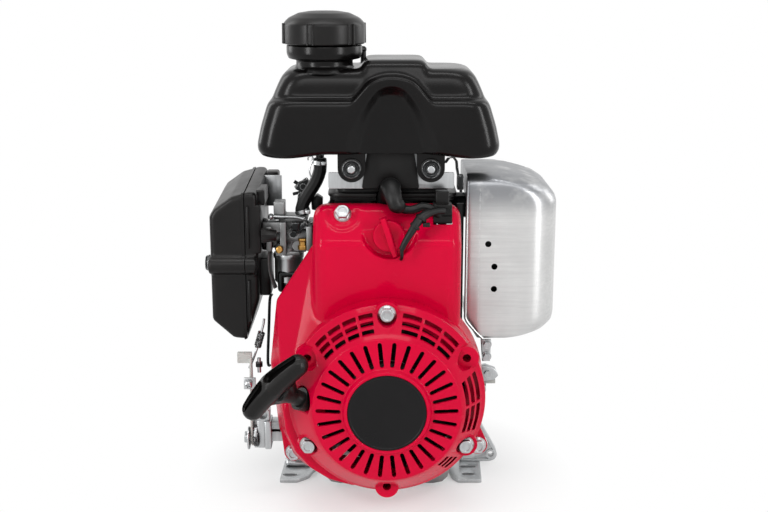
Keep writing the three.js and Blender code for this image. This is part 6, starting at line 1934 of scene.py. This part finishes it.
# The feet's outlines are seen from above, the gusset's and its window's from the front
FOOT_THICK = 3.0
LEFT_FOOT = (
    (-89, -28), (-73.5, -28), (-64, -19), (-61, -8), (-56, 2), (-30, 12), (-30, 62), (-87, 62), (-87.5, 10),
)
RIGHT_FOOT = ((66, -28), (86.5, -28), (88, 14), (90, 62), (38, 62), (38, 20), (58, -2), (61, -20))
GUSSET = (
    (78, 3.1), (96.5, 3.1), (101, 4.6), (103.4, 8.6), (102.6, 13.5), (88.6, 38.6), (84, 43), (80, 43),
    (70, 12), (70, 3.1),
)
GUSSET_WINDOW = ((88.6, 24.6), (92.6, 26.2), (96, 17.6), (90, 14.6), (86, 18), (84, 30), (86.4, 31))


def slot_hole(centre, half_length, radius):
    """A slot with round ends, cut down through a foot."""
    x, y = centre
    return hull("slot", [
        (x + side * half_length + radius * math.cos(a), y + radius * math.sin(a), z)
        for side in (-1, 1) for z in (-3, 9) for a in (2 * math.pi * i / 32 for i in range(32))
    ])


def left_foot():
    foot = plate_z("left_foot", rounded_outline(LEFT_FOOT, 2.5), 0.0, FOOT_THICK)
    rib = plate_z(
        "rib", rounded_outline([(-58, 3), (-52, 8), (-84, 62), (-87, 62), (-87, 54)], 2),
        FOOT_THICK - 0.3, FOOT_THICK + 1.4,
    )
    fused(foot, rib)
    return carved(foot, slot_hole((-80.6, -17.5), 3.4, 2.7), slot_hole((-72, 46), 3.4, 2.7))


def right_foot():
    """The right foot with the cast gusset that stands on it, pierced by a window and a round hole."""
    foot = plate_z("right_foot", rounded_outline(RIGHT_FOOT, 2.5), 0.0, FOOT_THICK)
    gusset = plate_y("gusset", rounded_outline(GUSSET, 2.4), 13.0, 19.0)
    rim = plate_y("rim", rounded_outline(GUSSET, 2.4), 11.6, 14.0)
    inner = plate_y("inner", rounded_outline(inset_outline(GUSSET, 2.2), 1.6), 9.0, 14.6)
    carved(rim, inner)
    fused(gusset, rim, bar("boss", (97.6, 11.2, 10), (97.6, 18, 10), 4.6))
    carved(
        gusset, plate_y("window", rounded_outline(GUSSET_WINDOW, 1.6), 5, 25),
        bar("hole", (97.6, 5, 10), (97.6, 25, 10), 2.7, segments=SMALL),
    )
    fused(foot, gusset)
    return carved(
        foot, slot_hole((75.5, -16), 3.2, 2.5), slot_hole((76, 0), 5.0, 2.4),
        slot_hole((76, 46), 3.4, 2.7),
    )


def foot_dowel():
    """The locating dowel that lies on the left foot."""
    dowel = ball_chain(
        "left_dowel",
        [(Vector((-83.5, 2, 6.6)), 3.4), (Vector((-77, 2, 6.0)), 3.7), (Vector((-66.5, 3, 5.2)), 3.4)],
        10,
    )
    fused(dowel, bar("collar", (-68.6, 2.9, 5.3), (-66.4, 3, 5.2), 4.4, segments=SMALL))
    return dowel


def gap_shade_panel():
    """A dark sheet that fills the gap between the fan housing and the muffler's shield: partly the shroud
    there, partly painted shade in that gap.
    """
    return rounded_box("gap_shade_panel", (61.6, 66.6), (-30.4, -29.4), (128, 247), 0.5)


def crankcase_flange():
    """The bright edge and nuts of the crankcase that look out on the right."""
    tab = rounded_solid(
        "side_tab",
        carried(((84, 84), (97.4, 86), (100.6, 89.4), (98, 95), (90, 98), (84, 97)), (-2, 3)), 0.7, 4,
    )
    fused(tab, rounded_box("lower", (84, 90.4), (-2, 3), (75, 79.4), 0.6))
    return fused(tab, bar("stud", (92, -5, 91), (92, 0, 91), 3.2, segments=6))


# Making

def make_everything():
    placed(recoil_cover(), "engine", "red_paint", ["recoil_cover"], radius=0.3)
    placed(badge_disc(), "engine", "badge_black", ["recoil_badge"])
    placed(starter_grip(), "starter_grip", "black_plastic", ["recoil_handle"], soft=True)
    placed(fan_housing(), "engine", "red_paint", ["fan_cover"])
    placed(switch_knob(), "switch_knob", "red_paint", ["switch_knob"])
    cover_bolts()
    placed(tank_body(), "engine", "black_plastic", ["fuel_tank", "filler_neck"], material="tank_plastic")
    placed(cap_body(), "fuel_cap", "black_plastic", ["fuel_cap"])
    tank_mountings()
    placed(cap_tether(), "engine", "black_plastic")
    placed(muffler_shield(), "engine", "bright_aluminium", ["muffler_shield"])
    placed(shield_edge(), "engine", "bright_aluminium")
    placed(shield_stay(), "engine", "zinc_steel")
    air_cleaner()
    placed(cleaner_nut(), "air_cleaner_nut", "dark_steel", ["air_cleaner_nut"], radius=0.2)
    placed(plug_cap(), "engine", "rubber", ["plug_cap"])
    placed(ignition_lead(), "engine", "rubber", ["ignition_lead"])
    placed(lead_clip(), "engine", "rubber", ["lead_block"], material="black_plastic")
    placed(switch_wire(), "engine", "rubber")
    placed(top_guard(), "engine", "dark_steel", radius=0.4)
    placed(strap_catch(), "engine", "dark_steel")
    carburettor_casting()
    carburettor_parts()
    linkage_cluster()
    rods()
    control_hardware()
    placed(left_foot(), "engine", "zinc_steel", ["foot_left"], radius=0.5)
    placed(right_foot(), "engine", "zinc_steel", ["foot_right"], radius=0.4)
    placed(foot_dowel(), "engine", "zinc_steel")
    # Painted shade: a dark sheet in the gap by the muffler's shield
    placed(gap_shade_panel(), "engine", "black_plastic")
    placed(crankcase_flange(), "engine", "zinc_steel")


make_everything()


# Stage, lights, camera

# How bright the white room is as a light, where 1 is the white that the camera sees
ROOM_LIGHT = 0.22
# How far from the engine the floor's shadow has faded into plain white, in metres
FADE_START, FADE_END = 0.06, 0.17
# The share of plain white under the engine itself, where the shadow is deepest
NEAR_WHITE = 0.35
FLOOR_SIDE, FLOOR_DROP = 40.0, 0.0005
LAMP_TARGET = (0, 0, 0.2)
# Each lamp's name, place, width and height in metres, and its power in watts
LAMPS = (
    ("left_softbox", (-1.15, -1.05, 0.62), 0.26, 1.2, 13.5),
    ("right_softbox", (1.22, -1.0, 0.6), 0.26, 1.2, 12),
    ("front_fill", (0.1, -1.5, 1.2), 1.2, 0.4, 6),
    ("top_softbox", (0.0, -0.3, 1.5), 1.2, 0.25, 6),
    ("left_rim", (-1.2, 0.7, 0.8), 0.5, 1.2, 6),
    ("right_rim", (1.2, 0.7, 0.8), 0.5, 1.2, 5),
)
# The camera's lens and film width in millimetres, its place in metres and its tilt from straight down
LENS, FILM = 55.1, 36
EYE, TILT = (0.0017, -0.975, 0.430), 76.5


def seen_directly(tree):
    """1 for what the camera sees itself, in a reflection or through glass, else 0."""
    path = add(tree, "ShaderNodeLightPath")
    mirrored = math_node(tree, "MAXIMUM", path.outputs["Is Glossy Ray"], path.outputs["Is Transmission Ray"])
    return math_node(tree, "MAXIMUM", path.outputs["Is Camera Ray"], mirrored)


def white_room():
    """A world that is white to look at, and softer as a light."""
    world = bpy.data.worlds.new("white_room")
    bpy.context.scene.world = world
    world.use_nodes = True
    tree = world.node_tree
    background = tree.nodes["Background"]
    strength = add(tree, "ShaderNodeMapRange")
    tree.links.new(seen_directly(tree), strength.inputs["Value"])
    strength.inputs["To Min"].default_value = ROOM_LIGHT
    strength.inputs["To Max"].default_value = 1.0
    background.inputs["Color"].default_value = (1, 1, 1, 1)
    tree.links.new(strength.outputs["Result"], background.inputs["Strength"])


def pale_floor():
    """A floor that keeps the engine's shadow and turns plain white away from it."""
    mesh = bpy.data.meshes.new("floor")
    side = FLOOR_SIDE
    corners = [(-side, -side, 0), (side, -side, 0), (side, side, 0), (-side, side, 0)]
    mesh.from_pydata(corners, [], [(0, 1, 2, 3)])
    floor = bpy.data.objects.new("floor", mesh)
    bpy.context.scene.collection.objects.link(floor)
    floor.location.z = -FLOOR_DROP
    paint = bpy.data.materials.new("pale_floor")
    paint.use_nodes = True
    tree = paint.node_tree
    shader, output = tree.nodes["Principled BSDF"], tree.nodes["Material Output"]
    shader.inputs["Base Color"].default_value = (0.95, 0.95, 0.95, 1)
    shader.inputs["Roughness"].default_value = 0.9
    shader.inputs["Specular IOR Level"].default_value = 0.1
    white = add(tree, "ShaderNodeEmission")
    white.inputs["Color"].default_value = (1, 1, 1, 1)
    white.inputs["Strength"].default_value = 1.0
    place = add(tree, "ShaderNodeNewGeometry").outputs["Position"]
    length = add(tree, "ShaderNodeVectorMath", operation="LENGTH")
    tree.links.new(place, length.inputs[0])
    far = spread(tree, length.outputs["Value"], FADE_START, FADE_END)
    share = math_node(tree, "ADD", math_node(tree, "MULTIPLY", far, 1.0 - NEAR_WHITE), NEAR_WHITE)
    amount = math_node(tree, "MULTIPLY", share, seen_directly(tree), clamp=True)
    blend = add(tree, "ShaderNodeMixShader")
    tree.links.new(amount, blend.inputs["Fac"])
    tree.links.new(shader.outputs[0], blend.inputs[1])
    tree.links.new(white.outputs[0], blend.inputs[2])
    tree.links.new(blend.outputs[0], output.inputs["Surface"])
    mesh.materials.append(paint)


def area_light(name, place, width, height, power):
    """A soft rectangular lamp that points at the middle of the engine."""
    data = bpy.data.lights.new(name, "AREA")
    data.energy = power
    data.shape = "RECTANGLE"
    data.size = width
    data.size_y = height
    lamp = bpy.data.objects.new(name, data)
    bpy.context.scene.collection.objects.link(lamp)
    lamp.location = place
    aim = Vector(LAMP_TARGET) - Vector(place)
    lamp.rotation_euler = aim.to_track_quat("-Z", "Y").to_euler()


def studio():
    for lamp in LAMPS:
        area_light(*lamp)


def viewpoint():
    data = bpy.data.cameras.new("viewpoint")
    data.lens = LENS
    data.sensor_width = FILM
    camera = bpy.data.objects.new("viewpoint", data)
    bpy.context.scene.collection.objects.link(camera)
    camera.location = EYE
    camera.rotation_euler = (math.radians(TILT), 0, 0)
    bpy.context.scene.camera = camera


white_room()
pale_floor()
studio()
viewpoint()
bpy.context.scene.view_settings.view_transform = "Standard"
